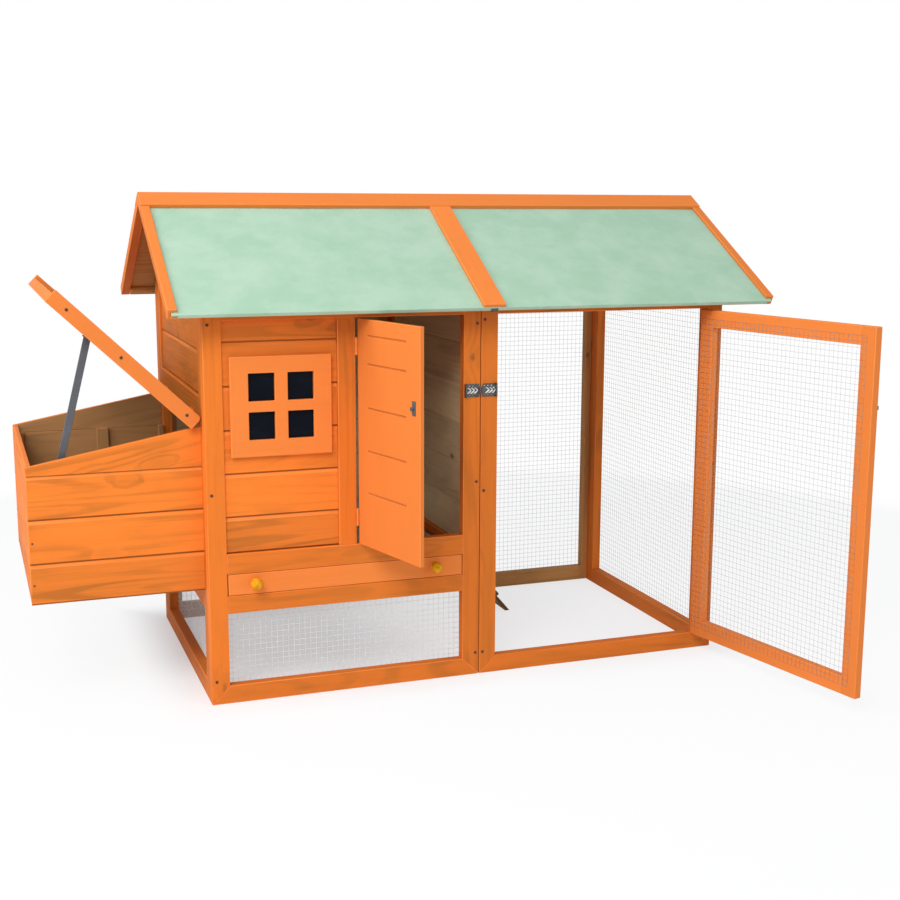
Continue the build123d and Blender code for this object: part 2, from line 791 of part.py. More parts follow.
def build_nest():
    """The nest box on the house's left wall."""
    front = (nest_front, nest_front + board_thickness)
    back = (nest_back, nest_back - board_thickness)
    between = (front[1], back[1])
    inner_left = -nest_length + board_thickness
    end = boards_along_y(between, -nest_length, inner_left, nest_bottom, nest_outer_height, nest_board_line)
    floor_top = nest_bottom + nest_floor_thickness
    batten_top = nest_outer_height - nest_batten_drop
    cleat_x = (-nest_cleat_centre - nest_cleat_width / 2, -nest_cleat_centre + nest_cleat_width / 2)
    battens = []
    for y in ((between[0], between[0] + nest_batten), (between[1] - nest_batten, between[1])):
        battens.append(block((inner_left, inner_left + nest_batten), y, (floor_top, batten_top)))
        battens.append(block((-nest_batten, 0), y, (floor_top, batten_top)))
    for y in ((between[0], between[0] + board_thickness), (between[1] - board_thickness, between[1])):
        battens.append(block(cleat_x, y, (floor_top, batten_top)))
    divider_y = (middle - board_thickness / 2, middle + board_thickness / 2)
    return {
        "nest_side_boards": nest_side(front) + nest_side(back),
        "nest_end_boards": end,
        "nest_floor": [block((inner_left, 0), between, (nest_bottom, floor_top))],
        "nest_battens": battens,
        "nest_divider": [block((inner_left, 0), divider_y, (floor_top, floor_top + divider_height))],
    }


def lid_side_batten(lift, y):
    """One side batten of the lid, its upper corner by the wall rounded off."""
    bar = lid_piece((lid_wall_gap, lid_length), lift, y)
    corner = bar.edges().filter_by(Axis.Y).sort_by(Axis.X)[-2:].sort_by(Axis.Z)[-1]
    return fillet(corner, lid_batten_round)


def build_lid():
    """The nest lid's panel, felt and battens in their shut places."""
    outer = (nest_front - lid_side_gap - lid_batten_width, nest_back + lid_side_gap + lid_batten_width)
    inner = (outer[0] + lid_batten_width, outer[1] - lid_batten_width)
    panel_along = (lid_wall_gap, lid_length - lid_batten_width)
    batten_lift = (-lid_batten_depth, lid_top + lid_batten_rise)
    panel = lid_piece(panel_along, (0, lid_panel_thickness), inner)
    felt = lid_piece(panel_along, (lid_panel_thickness, lid_top), inner)
    battens = [
        lid_side_batten(batten_lift, (outer[0], inner[0])),
        lid_side_batten(batten_lift, (inner[1], outer[1])),
        lid_piece((lid_length - lid_batten_width, lid_length), (-lid_batten_depth, lid_top), inner),
    ]
    hinges = [lid_hinge(y) for y in (inner[0] + lid_hinge_inset, inner[1] - lid_hinge_inset)]
    screws = []
    for along in lid_screw_places:
        x, z = lid_point(along, (batten_lift[0] + batten_lift[1]) / 2)
        screws.append(rod((x, outer[0], z), (x, outer[0] - screw_head_height, z), screw_radius))
    return panel, felt, battens, hinges, screws


def prop_pivot():
    """The (x, z) place of the prop's upper pivot with the lid raised."""
    shut = Vector(*lid_point(prop_pivot_distance, -prop_pivot_drop))
    dx, dz = shut.X - lid_axis[0], shut.Y - lid_axis[1]
    turn = radians(lid_open)
    return lid_axis[0] + dx * cos(turn) + dz * sin(turn), lid_axis[1] - dx * sin(turn) + dz * cos(turn)


def build_prop():
    """The lid's prop, standing, with its bracket under the shut lid and its peg on the nest's side."""
    wall = nest_front + board_thickness
    y = (wall + prop_wall_gap, wall + prop_wall_gap + prop_thickness)
    top = prop_pivot()
    foot = (-prop_peg_distance, prop_peg_height)
    length = hypot(top[0] - foot[0], top[1] - foot[1])
    lean = degrees(atan2(foot[1] - top[1], foot[0] - top[0]))
    shape = SlotCenterToCenter(length, prop_width)
    shape -= Pos(-length / 2, 0) * Circle(prop_pin_radius + prop_pin_clearance)
    shape -= Pos(length / 2, 0) * Circle(prop_pin_radius + prop_peg_gap)
    bar = Rot(90, 0, 0) * extrude(shape, amount=-prop_thickness)
    bar = bar.rotate(Axis.Y, -lean)
    bar = Pos((top[0] + foot[0]) / 2, y[0], (top[1] + foot[1]) / 2) * bar

    pivot_shut = lid_point(prop_pivot_distance, -prop_pivot_drop)
    half = prop_bracket_width / 2
    bracket_y = (y[1] + prop_peg_gap, y[1] + prop_peg_gap + prop_bracket_thickness)
    bracket = lid_piece((prop_pivot_distance - half, prop_pivot_distance + half),
                        (-prop_pivot_drop - half, 0), bracket_y)
    pin_root = (pivot_shut[0], bracket_y[0], pivot_shut[1])
    bracket += rod(pin_root, (pivot_shut[0], y[0], pivot_shut[1]), prop_pin_radius)
    peg = rod((foot[0], wall, foot[1]), (foot[0], y[0] - prop_peg_gap, foot[1]), prop_pin_radius)
    return bar, bracket, peg


def build_ramp():
    """The plank from the pop hole down into the run, with its cleats."""
    back = side_back - ramp_side_gap
    y = (back - ramp_width, back)
    angle = atan2(sill_bottom, ramp_run)
    foot = partition_right + ramp_run
    plank = [
        (partition_right, sill_bottom),
        (partition_right, sill_bottom - ramp_thickness / cos(angle)),
        (foot - ramp_thickness / sin(angle), 0),
        (foot, 0),
    ]
    length = hypot(sill_bottom, ramp_run)
    solids = [slab_along_y(plank, y)]
    for k in range(ramp_cleat_count):
        centre = length * (k + 1) / (ramp_cleat_count + 1)
        cleat = []
        for along, lift in ((-1, 0), (1, 0), (1, 1), (-1, 1)):
            run = centre + along * ramp_cleat_width / 2
            x = partition_right + run * cos(angle) + lift * ramp_cleat_height * sin(angle)
            z = sill_bottom - run * sin(angle) + lift * ramp_cleat_height * cos(angle)
            cleat.append((x, z))
        solids.append(slab_along_y(cleat, y))
    return solids


def build_perch():
    """The roosting bar across the house and the block under each end."""
    x = (perch_distance - perch_size / 2, perch_distance + perch_size / 2)
    front_face = board_setback + board_thickness
    back_face = frame_depth - front_face
    bar = block(x, (front_face, back_face), (perch_height, perch_height + perch_size))
    seat_x = (perch_distance - perch_seat_width / 2, perch_distance + perch_seat_width / 2)
    seat_z = (perch_height - perch_seat_height, perch_height)
    seats = [
        block(seat_x, (front_face, front_face + perch_seat_depth), seat_z),
        block(seat_x, (back_face - perch_seat_depth, back_face), seat_z),
    ]
    return bar, seats


def build_screws():
    """Heads of the screws through the front posts, and of the nails down the nest box's corner."""
    heads = []
    columns = (screw_edge_inset, house_length - screw_seam_inset,
               run_left + screw_seam_inset, total_length - screw_edge_inset)
    for x, middle_screw, high_screw in zip(columns, screw_mids, screw_highs):
        for z in (screw_low, middle_screw, high_screw):
            heads.append(rod((x, 0, z), (x, -screw_head_height, z), screw_radius))
    levels = board_levels(nest_bottom, nest_outer_height, nest_board_line)
    for low, high in list(zip(levels, levels[1:]))[:nailed_boards]:
        z = (low + high) / 2
        x = nail_inset - nest_length
        heads.append(rod((x, nest_front, z), (x, nest_front - screw_head_height, z), nail_radius))
    return heads


def build_all():
    """Every node of the coop, in place, as lists of solids."""
    nodes = {}
    nodes.update(build_front())
    nodes.update(build_back())
    nodes.update(build_ends())
    nodes.update(build_nets())
    nodes.update(build_roof())
    nodes.update(build_nest())

    leaf, house_hinges = build_house_door()
    stiles, rails, net, run_hinges = build_run_door()
    panel, felt, battens, lid_hinges, lid_screws = build_lid()
    bar, bracket, peg = build_prop()
    tray_front, tray_pan, knobs, runners = build_tray()
    perch, seats = build_perch()

    nodes["house_door_leaf"] = [house_door_swung(leaf)]
    nodes["house_door_hinge_leaves"] = [house_door_swung(hinge[1]) for hinge in house_hinges]
    house_catch = doorway_right - door_clearance - house_catch_distance
    nodes["house_door_catch"] = [house_door_swung(door_catch(house_catch))]
    nodes["run_door_stiles"] = [run_door_swung(piece) for piece in stiles]
    nodes["run_door_rails"] = [run_door_swung(piece) for piece in rails]
    nodes["run_door_net"] = [run_door_swung(net)]
    nodes["run_door_hinge_leaves"] = [run_door_swung(hinge[1]) for hinge in run_hinges]
    run_catch = run_doorway_left + door_clearance + run_catch_distance
    nodes["run_door_catch"] = [run_door_swung(door_catch(run_catch))]

    nodes["lid_panel"] = [raised(panel)]
    nodes["lid_felt"] = [raised(felt)]
    nodes["lid_battens"] = [raised(piece) for piece in battens]
    nodes["lid_hinge_leaves"] = [raised(hinge[1]) for hinge in lid_hinges]
    nodes["lid_screws"] = [raised(piece) for piece in lid_screws]
    nodes["lid_prop_bracket"] = [raised(bracket)]
    nodes["lid_prop"] = [bar]
    nodes["lid_prop_peg"] = [peg]

    all_hinges = house_hinges + run_hinges + lid_hinges
    nodes["fixed_hinge_leaves"] = [hinge[0] for hinge in all_hinges]
    nodes["hinge_pins"] = [hinge[2] for hinge in all_hinges]

    latches = ((house_latch_axis, 1), (run_latch_axis, -1))
    nodes["latch_bases"] = [latch_base(axis, hand) for axis, hand in latches]
    nodes["latch_bases"] += [latch_pin(axis) for axis, hand in latches]
    nodes["house_latch_loop"] = [latch_loop(*latches[0])]
    nodes["run_latch_loop"] = [latch_loop(*latches[1])]

    nodes["tray_front"] = [tray_front]
    nodes["tray_pan"] = [tray_pan]
    nodes["tray_knobs"] = knobs
    nodes["tray_runners"] = runners
    nodes["ramp"] = build_ramp()
    nodes["perch"] = [perch] + seats
    nodes["screw_heads"] = build_screws()
    return nodes


def main():
    nodes = {name: [solid for piece in pieces for solid in piece.solids()]
             for name, pieces in build_all().items()}
    box = Compound([solid for solids in nodes.values() for solid in solids]).bounding_box()
    shift = Vector(-box.center().X, -box.center().Y, -box.min.Z)
    os.makedirs("parts", exist_ok=True)
    for name, solids in nodes.items():
        export_step(Pos(shift) * Compound(solids), os.path.join("parts", f"{name}.step"))
    print("nodes", len(nodes), "box", [round(v, 1) for v in box.size], "shift", [round(v, 3) for v in shift])
    pivots = {
        "house_door": (*house_hinge_axis, 0),
        "run_door": (*run_hinge_axis, 0),
        "house_latch": (*house_latch_axis, latch_height),
        "run_latch": (*run_latch_axis, latch_height),
        "lid": (lid_axis[0], middle, lid_axis[1]),
        "prop": (prop_pivot()[0], nest_front, prop_pivot()[1]),
    }
    for name, place in pivots.items():
        print("pivot", name, [round(v, 4) for v in Vector(*place) + shift])
    print("lid opens", round(lid_open, 3), "degrees")


main()
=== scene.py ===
"""Looks of a wooden chicken coop: eased timber with grain, netting, felt, fittings and a plain stage."""
import json
import math
import random

import bmesh
import bpy
from bpy.props import FloatProperty, FloatVectorProperty, IntProperty, PointerProperty
from bpy.types import NodeSocket, Operator, Panel, PropertyGroup
from mathutils import Matrix, Vector, noise


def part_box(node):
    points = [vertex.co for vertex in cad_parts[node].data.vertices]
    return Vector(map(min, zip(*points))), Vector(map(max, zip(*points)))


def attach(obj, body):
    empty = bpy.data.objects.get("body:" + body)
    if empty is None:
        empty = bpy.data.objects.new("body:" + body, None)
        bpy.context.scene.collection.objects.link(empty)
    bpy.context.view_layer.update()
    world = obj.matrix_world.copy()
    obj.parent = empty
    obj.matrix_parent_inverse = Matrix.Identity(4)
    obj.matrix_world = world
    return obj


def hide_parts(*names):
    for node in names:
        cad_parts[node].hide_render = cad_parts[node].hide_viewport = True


bl_info = {
    "name": "Chicken coop looks",
    "version": (1, 0, 0),
    "blender": (4, 5, 0),
    "location": "View3D > Sidebar > Coop",
    "description": "Dresses the packed chicken coop: timber, boards, felt, netting, fittings and stage",
    "category": "Object",
}

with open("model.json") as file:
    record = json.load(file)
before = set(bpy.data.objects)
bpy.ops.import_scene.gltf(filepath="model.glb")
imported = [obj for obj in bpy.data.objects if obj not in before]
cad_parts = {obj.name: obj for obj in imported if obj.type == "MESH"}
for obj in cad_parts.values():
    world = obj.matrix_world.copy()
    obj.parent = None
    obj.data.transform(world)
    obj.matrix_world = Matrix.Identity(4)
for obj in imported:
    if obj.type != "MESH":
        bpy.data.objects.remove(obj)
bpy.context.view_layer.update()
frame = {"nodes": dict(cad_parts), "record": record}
BODY_OF = {node: body for body, nodes in frame["record"]["behaviour"]["bodies"].items() for node in nodes}
SLOT_OF = {part["node"]: part["material_slot"] for part in frame["record"]["subparts"]}

NODES_OF = {slot: [node for node in SLOT_OF if SLOT_OF[node] == slot] for slot in SLOT_OF.values()}

FITTINGS = {
    "house_door_catch": "grey_steel", "run_door_catch": "dull_zinc", "roof_joint_clips": "dull_zinc",
}
# Painted shade: the faces of these timbers that look into the coop take a browner colour standing for the
# shade under the roof.
INNER_TIMBER = ("back_posts", "back_rails")
OWN_FINISH = {
    "ramp": "ramp_stain", "perch": "bare_inside", "tray_runners": "bare_inside",
    "nest_floor": "nest_inside", "nest_divider": "nest_inside", "nest_battens": "nest_inside",
    # Painted shade: the roof's battens and boards and the lid's panel take the same brown, standing for
    # the shade on their undersides.
    "roof_battens": "inner_stain", "roof_panels": "inner_stain", "lid_panel": "inner_stain",
}

# Lengths are in metres and directions are shares of a unit length.
SAME_POINT = 1e-6
NEAR_POINT = 1e-5
FLAT_TURN = math.radians(0.4)
SHARP_TURN = math.radians(25)
ALONG = 0.9
ACROSS = 0.5
GROOVE_SLOPES = (0.15, 0.93)
HOLLOW_MARGINS = (0.006, 0.006, 0.0003)
# What the edge attribute says: rubbed pale edges, up-facing slopes made paler as a painted highlight, and
# -1 for painted shade.
RUBBED, LIP_HIGHLIGHT, HOLLOW_SHADE = 1.0, 0.9, -1.0
# Tones differ at random from piece to piece, but SEED is picked so that the door leaf, which faces the
# key lamp, draws a dark tone: painted shade on the door.
SEED = 789
GRAIN_REACH = (40.0, 4.0, 4.0)

# How often the felt's waves come, and their share of the ripple.
FELT_WAVES = ((6.0, 1.0), (17.0, 0.5))
FELT_TOP = 1e-4
WIRE_WAVES = 7.0
WIRE_SIDES = 4
# How far a layer of wires stands off the sheet's middle, in radii.
WIRE_NEST = 0.8

LOOP_EASE = 0.0009
PLATE_EASE = 0.0004
PLATE_LENGTH = 0.02
RIB_STAND = 0.0017
RIB_SIZE = (0.0165, 0.0013, 0.0030)
RIB_TURN = math.radians(38)
RIB_STEP = 0.0082
RIB_LEVEL = 0.0052
RIB_EASE = 0.0005
PROP_EASE = 0.0008

# A recess is measured in radii of its head, and the dome and depth in heights of it.
HEAD_CELLS = 5
HEAD_DOME = 0.45
NAIL_RADIUS = 0.003
RECESS_REACH = 0.6
RECESS_HALF_WIDTH = 0.1
RECESS_DEPTH = 0.55
HEM_RADIUS = 0.0016
HEM_SIDES = 10
KNOB_STEPS = 28
# The knob's outline, from its front to its foot: how far out and how far back, in radii of its ball.
KNOB_OUTLINE = (
    (0.0, 0.0), (0.40, 0.02), (0.72, 0.24), (0.93, 0.55), (1.0, 0.98), (0.94, 1.38), (0.76, 1.70),
    (0.52, 1.88), (0.44, 2.02), (0.46, 2.16), (0.60, 2.26), (0.62, 2.44), (0.62, 2.46), (0.0, 2.46),
)

WHITE = (1.0, 1.0, 1.0, 1.0)
FLOOR_REACH = 30.0
FLOOR_DROP = 0.0005
# Where the floor whitens: along the run, out from the coop's foot, and far away.
RUN_FADE = 0.45
COOP_FADE = (-0.02, 0.14)
FAR_FADE = (1.4, 2.6)
OUTER_WHITE = 0.88
SENSOR_WIDTH = 36.0
CLIP_END = 100.0
# Each lamp's size, place and target.
LAMPS = {
    "key": (2.2, (-2.4, -3.3, 4.0), (0.0, 0.0, 0.5)),
    "fill": (3.0, (2.6, -3.6, 1.6), (0.1, 0.0, 0.45)),
    "side": (1.6, (-3.2, -0.5, 2.4), (-0.5, 0.0, 0.6)),
    "top": (3.0, (0.0, -0.2, 3.8), (0.0, 0.1, 0.5)),
}


class CoopTimber(PropertyGroup):
    edge_round: FloatProperty(
        name="Edge rounding", description="Radius worn onto the edges of sawn timber",
        default=0.0016, min=0.0002, unit="LENGTH")
    board_edge_round: FloatProperty(
        name="Board edge rounding", description="Radius on the edges of the wall boards",
        default=0.0011, min=0.0002, unit="LENGTH")
    paint_edge_round: FloatProperty(
        name="Painted edge rounding", description="Radius on the edges of painted pieces",
        default=0.0013, min=0.0002, unit="LENGTH")
    frame_stain: FloatVectorProperty(
        name="Frame stain", description="Orange stain on the frame timber",
        default=(0.77, 0.188, 0.022), subtype="COLOR")
    stain: FloatVectorProperty(
        name="Board stain", description="Orange stain on the wall boards",
        default=(0.90, 0.222, 0.028), subtype="COLOR")
    stain_deep: FloatVectorProperty(
        name="Deep stain", description="Stain where the grain drank more of it",
        default=(0.49, 0.140, 0.020), subtype="COLOR")
    knot: FloatVectorProperty(
        name="Knots", description="Knots and pitch streaks",
        default=(0.19, 0.072, 0.020), subtype="COLOR")
    paint: FloatVectorProperty(
        name="Paint", description="Orange paint of the doors, lid, trim and roof boards",
        default=(0.85, 0.231, 0.044), subtype="COLOR")
    paint_worn: FloatVectorProperty(
        name="Rubbed paint", description="Paint thinned along the edges",
        default=(0.93, 0.31, 0.080), subtype="COLOR")
    inside: FloatVectorProperty(
        name="Bare inside", description="Bare wood inside the house",
        default=(0.82, 0.64, 0.38), subtype="COLOR")
    nest: FloatVectorProperty(
        name="Nest inside", description="Thinly stained wood inside the nest box",
        default=(0.46, 0.235, 0.092), subtype="COLOR")
    # Painted shade: a browner colour standing for the shade on faces that look into the coop and on
    # undersides; the ramp's rubbed edges reuse it.
    inner: FloatVectorProperty(
        name="Inner stain", description="Browner stain on timber faces that look into the coop",
        default=(0.62, 0.31, 0.105), subtype="COLOR")
    ramp: FloatVectorProperty(
        name="Ramp stain", description="Dark stain on the ramp",
        default=(0.19, 0.11, 0.045), subtype="COLOR")


class CoopRoof(PropertyGroup):
    felt: FloatVectorProperty(
        name="Felt", description="Pale green mineral roofing felt",
        default=(0.346, 0.516, 0.366), subtype="COLOR")
    felt_light: FloatVectorProperty(
        name="Chalky felt", description="Paler clouds on the felt",
        default=(0.424, 0.572, 0.430), subtype="COLOR")
    ripple: FloatProperty(
        name="Ripple", description="Height of the felt's slow waves",
        default=0.0006, min=0.0, unit="LENGTH")
    ripple_cell: FloatProperty(
        name="Ripple cell", description="Length of the felt's mesh cells",
        default=0.03, min=0.01, unit="LENGTH")


class CoopWire(PropertyGroup):
    pitch: FloatProperty(
        name="Mesh size", description="Distance between the wires of the netting",
        default=0.0127, min=0.008, unit="LENGTH")
    radius: FloatProperty(
        name="Wire radius", description="Half the thickness of one wire",
        default=0.00027, min=0.0001, unit="LENGTH")
    skirt_radius: FloatProperty(
        name="Skirt wire radius", description="Half the thickness of one wire under the house",
        default=0.00040, min=0.0001, unit="LENGTH")
    cuts: IntProperty(
        name="Wire cuts", description="Cuts along one wire, which let it wander",
        default=7, min=1)
    wander: FloatProperty(
        name="Wander", description="How far the netting strays from a true grid",
        default=0.0007, min=0.0, unit="LENGTH")
    # The netting's galvanised wire comes in two copies: the run's darker zinc, and a paler copy under the
    # house that is a painted highlight.
    zinc: FloatVectorProperty(
        name="Zinc", description="Weathered zinc on the wire of the run",
        default=(0.36, 0.35, 0.34), subtype="COLOR")
    bright_zinc: FloatVectorProperty(
        name="Bright zinc", description="Fresh zinc on the wire under the house",
        default=(0.92, 0.91, 0.90), subtype="COLOR")


class CoopMetal(PropertyGroup):
    zinc: FloatVectorProperty(
        name="Zinc plate", description="Plating of the latches and clips",
        default=(0.66, 0.66, 0.64), subtype="COLOR")
    zinc_dark: FloatVectorProperty(
        name="Dull zinc", description="Dulled plating of the latch plates and loops",
        default=(0.11, 0.11, 0.105), subtype="COLOR")
    sheet: FloatVectorProperty(
        name="Tray sheet", description="Galvanised sheet of the droppings tray",
        default=(0.60, 0.61, 0.62), subtype="COLOR")
    prop: FloatVectorProperty(
        name="Prop coating", description="Dark grey coating of the lid's prop",
        default=(0.090, 0.094, 0.102), subtype="COLOR")
    screw: FloatVectorProperty(
        name="Screw heads", description="Oxidised screw and nail heads",
        default=(0.10, 0.05, 0.025), subtype="COLOR")
    knob: FloatVectorProperty(
        name="Knobs", description="Yellow lacquer on the tray knobs",
        default=(0.76, 0.345, 0.003), subtype="COLOR")
    pane: FloatVectorProperty(
        name="Window", description="Dark acrylic sheet",
        default=(0.003, 0.005, 0.009), subtype="COLOR")


class CoopStage(PropertyGroup):
    floor: FloatVectorProperty(
        name="Floor", description="Pale studio floor",
        default=(0.90, 0.89, 0.90), subtype="COLOR")
    ambient: FloatProperty(
        name="Ambient", description="Even light from all round",
        default=0.42, min=0.0)
    ambient_tint: FloatVectorProperty(
        name="Ambient tint", description="Colour of the even light, cooler than the lamps",
        default=(0.88, 0.99, 1.12), subtype="COLOR", max=2.0)
    near_white: FloatProperty(
        name="Ground white",
        description="Share of plain white the camera sees on the ground under the coop",
        default=0.42, min=0.0, max=1.0)
    # Painted light: the run's ground glows whiter than the ground under the house.
    run_white: FloatProperty(
        name="Run ground white",
        description="Share of plain white the camera sees on the ground of the run",
        default=0.70, min=0.0, max=1.0)
    key: FloatProperty(
        name="Key lamp", description="Power of the large lamp at the front left",
        default=167.0, min=0.0, subtype="POWER")
    fill: FloatProperty(
        name="Fill lamp", description="Power of the large lamp at the front right",
        default=30.0, min=0.0, subtype="POWER")
    side: FloatProperty(
        name="Side lamp", description="Power of the lamp at the left, which looks over the raised lid",
        default=52.0, min=0.0, subtype="POWER")
    top: FloatProperty(
        name="Top lamp", description="Power of the lamp overhead",
        default=10.0, min=0.0, subtype="POWER")
    lens: FloatProperty(
        name="Lens", description="Focal length on a 36 mm sensor",
        default=54.238, min=10.0)
    eye: FloatVectorProperty(
        name="Camera place", description="Where the camera stands",
        default=(-0.96159, -2.92370, 1.07746), subtype="TRANSLATION", unit="LENGTH")
    yaw: FloatProperty(
        name="Camera yaw", description="Turn to the right of straight ahead",
        default=math.radians(19.99), subtype="ANGLE")
    pitch: FloatProperty(
        name="Camera pitch", description="Tilt above the level",
        default=math.radians(-10.3), subtype="ANGLE")
    roll: FloatProperty(
        name="Camera roll", description="Turn about the line of sight",
        default=math.radians(0.2), subtype="ANGLE")


class Nodes:
    """Adds nodes to one material or world and links them."""

    def __init__(self, owner):
        owner.use_nodes = True
        self.owner = owner
        self.tree = owner.node_tree
        self.tree.nodes.clear()

    def add(self, kind, inputs=None, **settings):
        node = self.tree.nodes.new(kind)
        for key, value in settings.items():
            setattr(node, key, value)
        for key, value in (inputs or {}).items():
            if isinstance(value, NodeSocket):
                self.tree.links.new(value, node.inputs[key])
            else:
                node.inputs[key].default_value = value
        return node

    def attribute(self, name, part):
        return self.add("ShaderNodeAttribute", attribute_name=name).outputs[part]

    def object_place(self):
        return self.add("ShaderNodeTexCoord").outputs["Object"]

    def scaled(self, vector, scale):
        return self.add("ShaderNodeMapping", {"Vector": vector, "Scale": scale}).outputs["Vector"]

    def noise(self, vector, scale, detail=4.0, roughness=0.6):
        """Clouds of one scale, or of a scale for each direction."""
        if isinstance(scale, tuple):
            vector = self.scaled(vector, scale)
            scale = 1.0
        made = self.add("ShaderNodeTexNoise", {
            "Vector": vector, "Scale": scale, "Detail": detail, "Roughness": roughness})
        return made.outputs["Fac"]

    def cells(self, vector, scale=1.0):
        """Uneven cells: how far their middles are, and a chance number for each."""
        made = self.add("ShaderNodeTexVoronoi", {"Vector": vector, "Scale": scale})
        chance = self.add("ShaderNodeSeparateColor", {"Color": made.outputs["Color"]})
        return made.outputs["Distance"], chance.outputs["Red"]

    def math(self, operation, first, second=0.0, clamp=False):
        made = self.add("ShaderNodeMath", {0: first, 1: second}, operation=operation, use_clamp=clamp)
        return made.outputs[0]

    def plus(self, first, second, clamp=False):
        return self.math("ADD", first, second, clamp)

    def times(self, first, second):
        return self.math("MULTIPLY", first, second)

    def fade(self, value, low, high, to_low=0.0, to_high=1.0):
        made = self.add("ShaderNodeMapRange", {
            "Value": value, "From Min": low, "From Max": high, "To Min": to_low, "To Max": to_high},
            interpolation_type="SMOOTHSTEP")
        return made.outputs["Result"]

    def mix(self, factor, first, second):
        ends = [end if isinstance(end, NodeSocket) else (*end, 1.0) for end in (first, second)]
        made = self.add("ShaderNodeMix", data_type="RGBA", inputs={0: factor, 6: ends[0], 7: ends[1]})
        return made.outputs[2]

    def bump(self, height, strength, distance):
        made = self.add("ShaderNodeBump", {"Height": height, "Strength": strength, "Distance": distance})
        return made.outputs["Normal"]

    def wear(self, color, rub, worn, fill, shade_color):
        """A colour rubbed paler along the worn edges and on the slopes given a painted highlight, and
        darkened as painted shade in the hollows and on down-facing slopes.
        """
        edge = self.attribute("edge", "Fac")
        rubbed = self.times(self.math("MAXIMUM", edge, 0.0), rub)
        color = self.mix(rubbed, color, worn)
        # Painted shade: faces marked -1 take a darker colour.
        shade_mask = self.math("MAXIMUM", self.times(edge, -1.0), 0.0)
        return self.mix(self.times(shade_mask, fill), color, shade_color)

    def seen(self):
        """1 where the camera looks, straight or by way of gloss or glass, and 0 for the light itself."""
        path = self.add("ShaderNodeLightPath").outputs
        total = self.plus(path["Is Camera Ray"], path["Is Glossy Ray"])
        return self.plus(total, path["Is Transmission Ray"], clamp=True)

    def surface(self, color, roughness, normal, specular=0.5, metallic=0.0):
        shader = self.add("ShaderNodeBsdfPrincipled", {
            "Base Color": color, "Roughness": roughness, "Normal": normal,
            "Specular IOR Level": specular, "Metallic": metallic})
        self.add("ShaderNodeOutputMaterial", {"Surface": shader.outputs["BSDF"]})
        return self.owner


def shade(color, share, lift=0.0):
    """A colour made darker or paler."""
    return [min(1.0, value * share + lift) for value in color]


def evenly(face, knot):
    """The face, grain, knot and edge colours of wood whose edges are no paler than its faces."""
    return face, shade(face, 0.6), knot, face


def wood(made, face, deep, knot, worn, figure, knots, rough):
    """Sawn softwood: uneven growth lines, fibres and knots that run along each length's own grain."""
    grain = made.attribute("grain", "Vector")

    ragged = made.add("ShaderNodeTexNoise", {"Vector": grain, "Scale": 45.0, "Detail": 3.0})
    shake = made.add("ShaderNodeVectorMath", operation="MULTIPLY", inputs={
        0: ragged.outputs["Color"], 1: (0.030, 0.012, 0.012)})
    shaken = made.add("ShaderNodeVectorMath", {0: grain, 1: shake.outputs[0]}, operation="ADD").outputs[0]
    apart, chance = made.cells(made.scaled(shaken, (6.5, 12.0, 0.7)))
    picked = made.math("LESS_THAN", chance, knots)
    core = made.times(made.fade(apart, 0.10, 0.03), picked)
    halo = made.times(made.fade(apart, 0.42, 0.06), picked)

    slow = made.noise(grain, (0.8, 9.0, 6.0), detail=1.5, roughness=0.55)
    bent = made.plus(slow, made.times(halo, 0.06))
    rings = made.math("SINE", made.times(bent, 105.0))
    lines = made.fade(rings, -0.1, 1.0)
    patch = made.noise(grain, (1.5, 13.0, 9.0), detail=3.0)
    fibres = made.noise(grain, (7.0, 420.0, 420.0))
    streaks = made.noise(grain, (1.4, 70.0, 50.0), detail=3.0)
    blotch = made.noise(grain, (3.2, 9.0, 5.0))

    soaked = made.times(made.fade(blotch, 0.45, 0.75), figure * 0.55)
    drawn = made.times(lines, made.fade(patch, 0.38, 0.68, figure * 0.05, figure * 0.60))
    brushed = made.times(made.fade(streaks, 0.48, 0.78), figure * 0.45)
    streak = made.times(made.fade(fibres, 0.50, 0.78), figure * 0.30)
    depth = made.plus(made.plus(soaked, drawn), made.plus(brushed, streak))
    tone = made.times(made.attribute("tone", "Fac"), 0.40)
    color = made.mix(made.plus(depth, tone, clamp=True), face, deep)
    color = made.mix(made.times(halo, 0.30), color, deep)
    color = made.mix(made.times(core, 0.75), color, knot)
    # Rubbed edges are real wear; up-facing groove slopes get a painted highlight and the hollows painted
    # shade.
    color = made.wear(color, made.fade(blotch, 0.35, 0.65, 0.10, 0.75), worn, 0.85, shade(deep, 0.55))

    height = made.plus(made.times(fibres, 0.7), made.times(lines, 0.4))
    roughness = made.fade(fibres, 0.25, 0.75, rough - 0.06, rough + 0.12)
    return made.surface(color, roughness, made.bump(height, 0.12, 0.0004), specular=0.12)


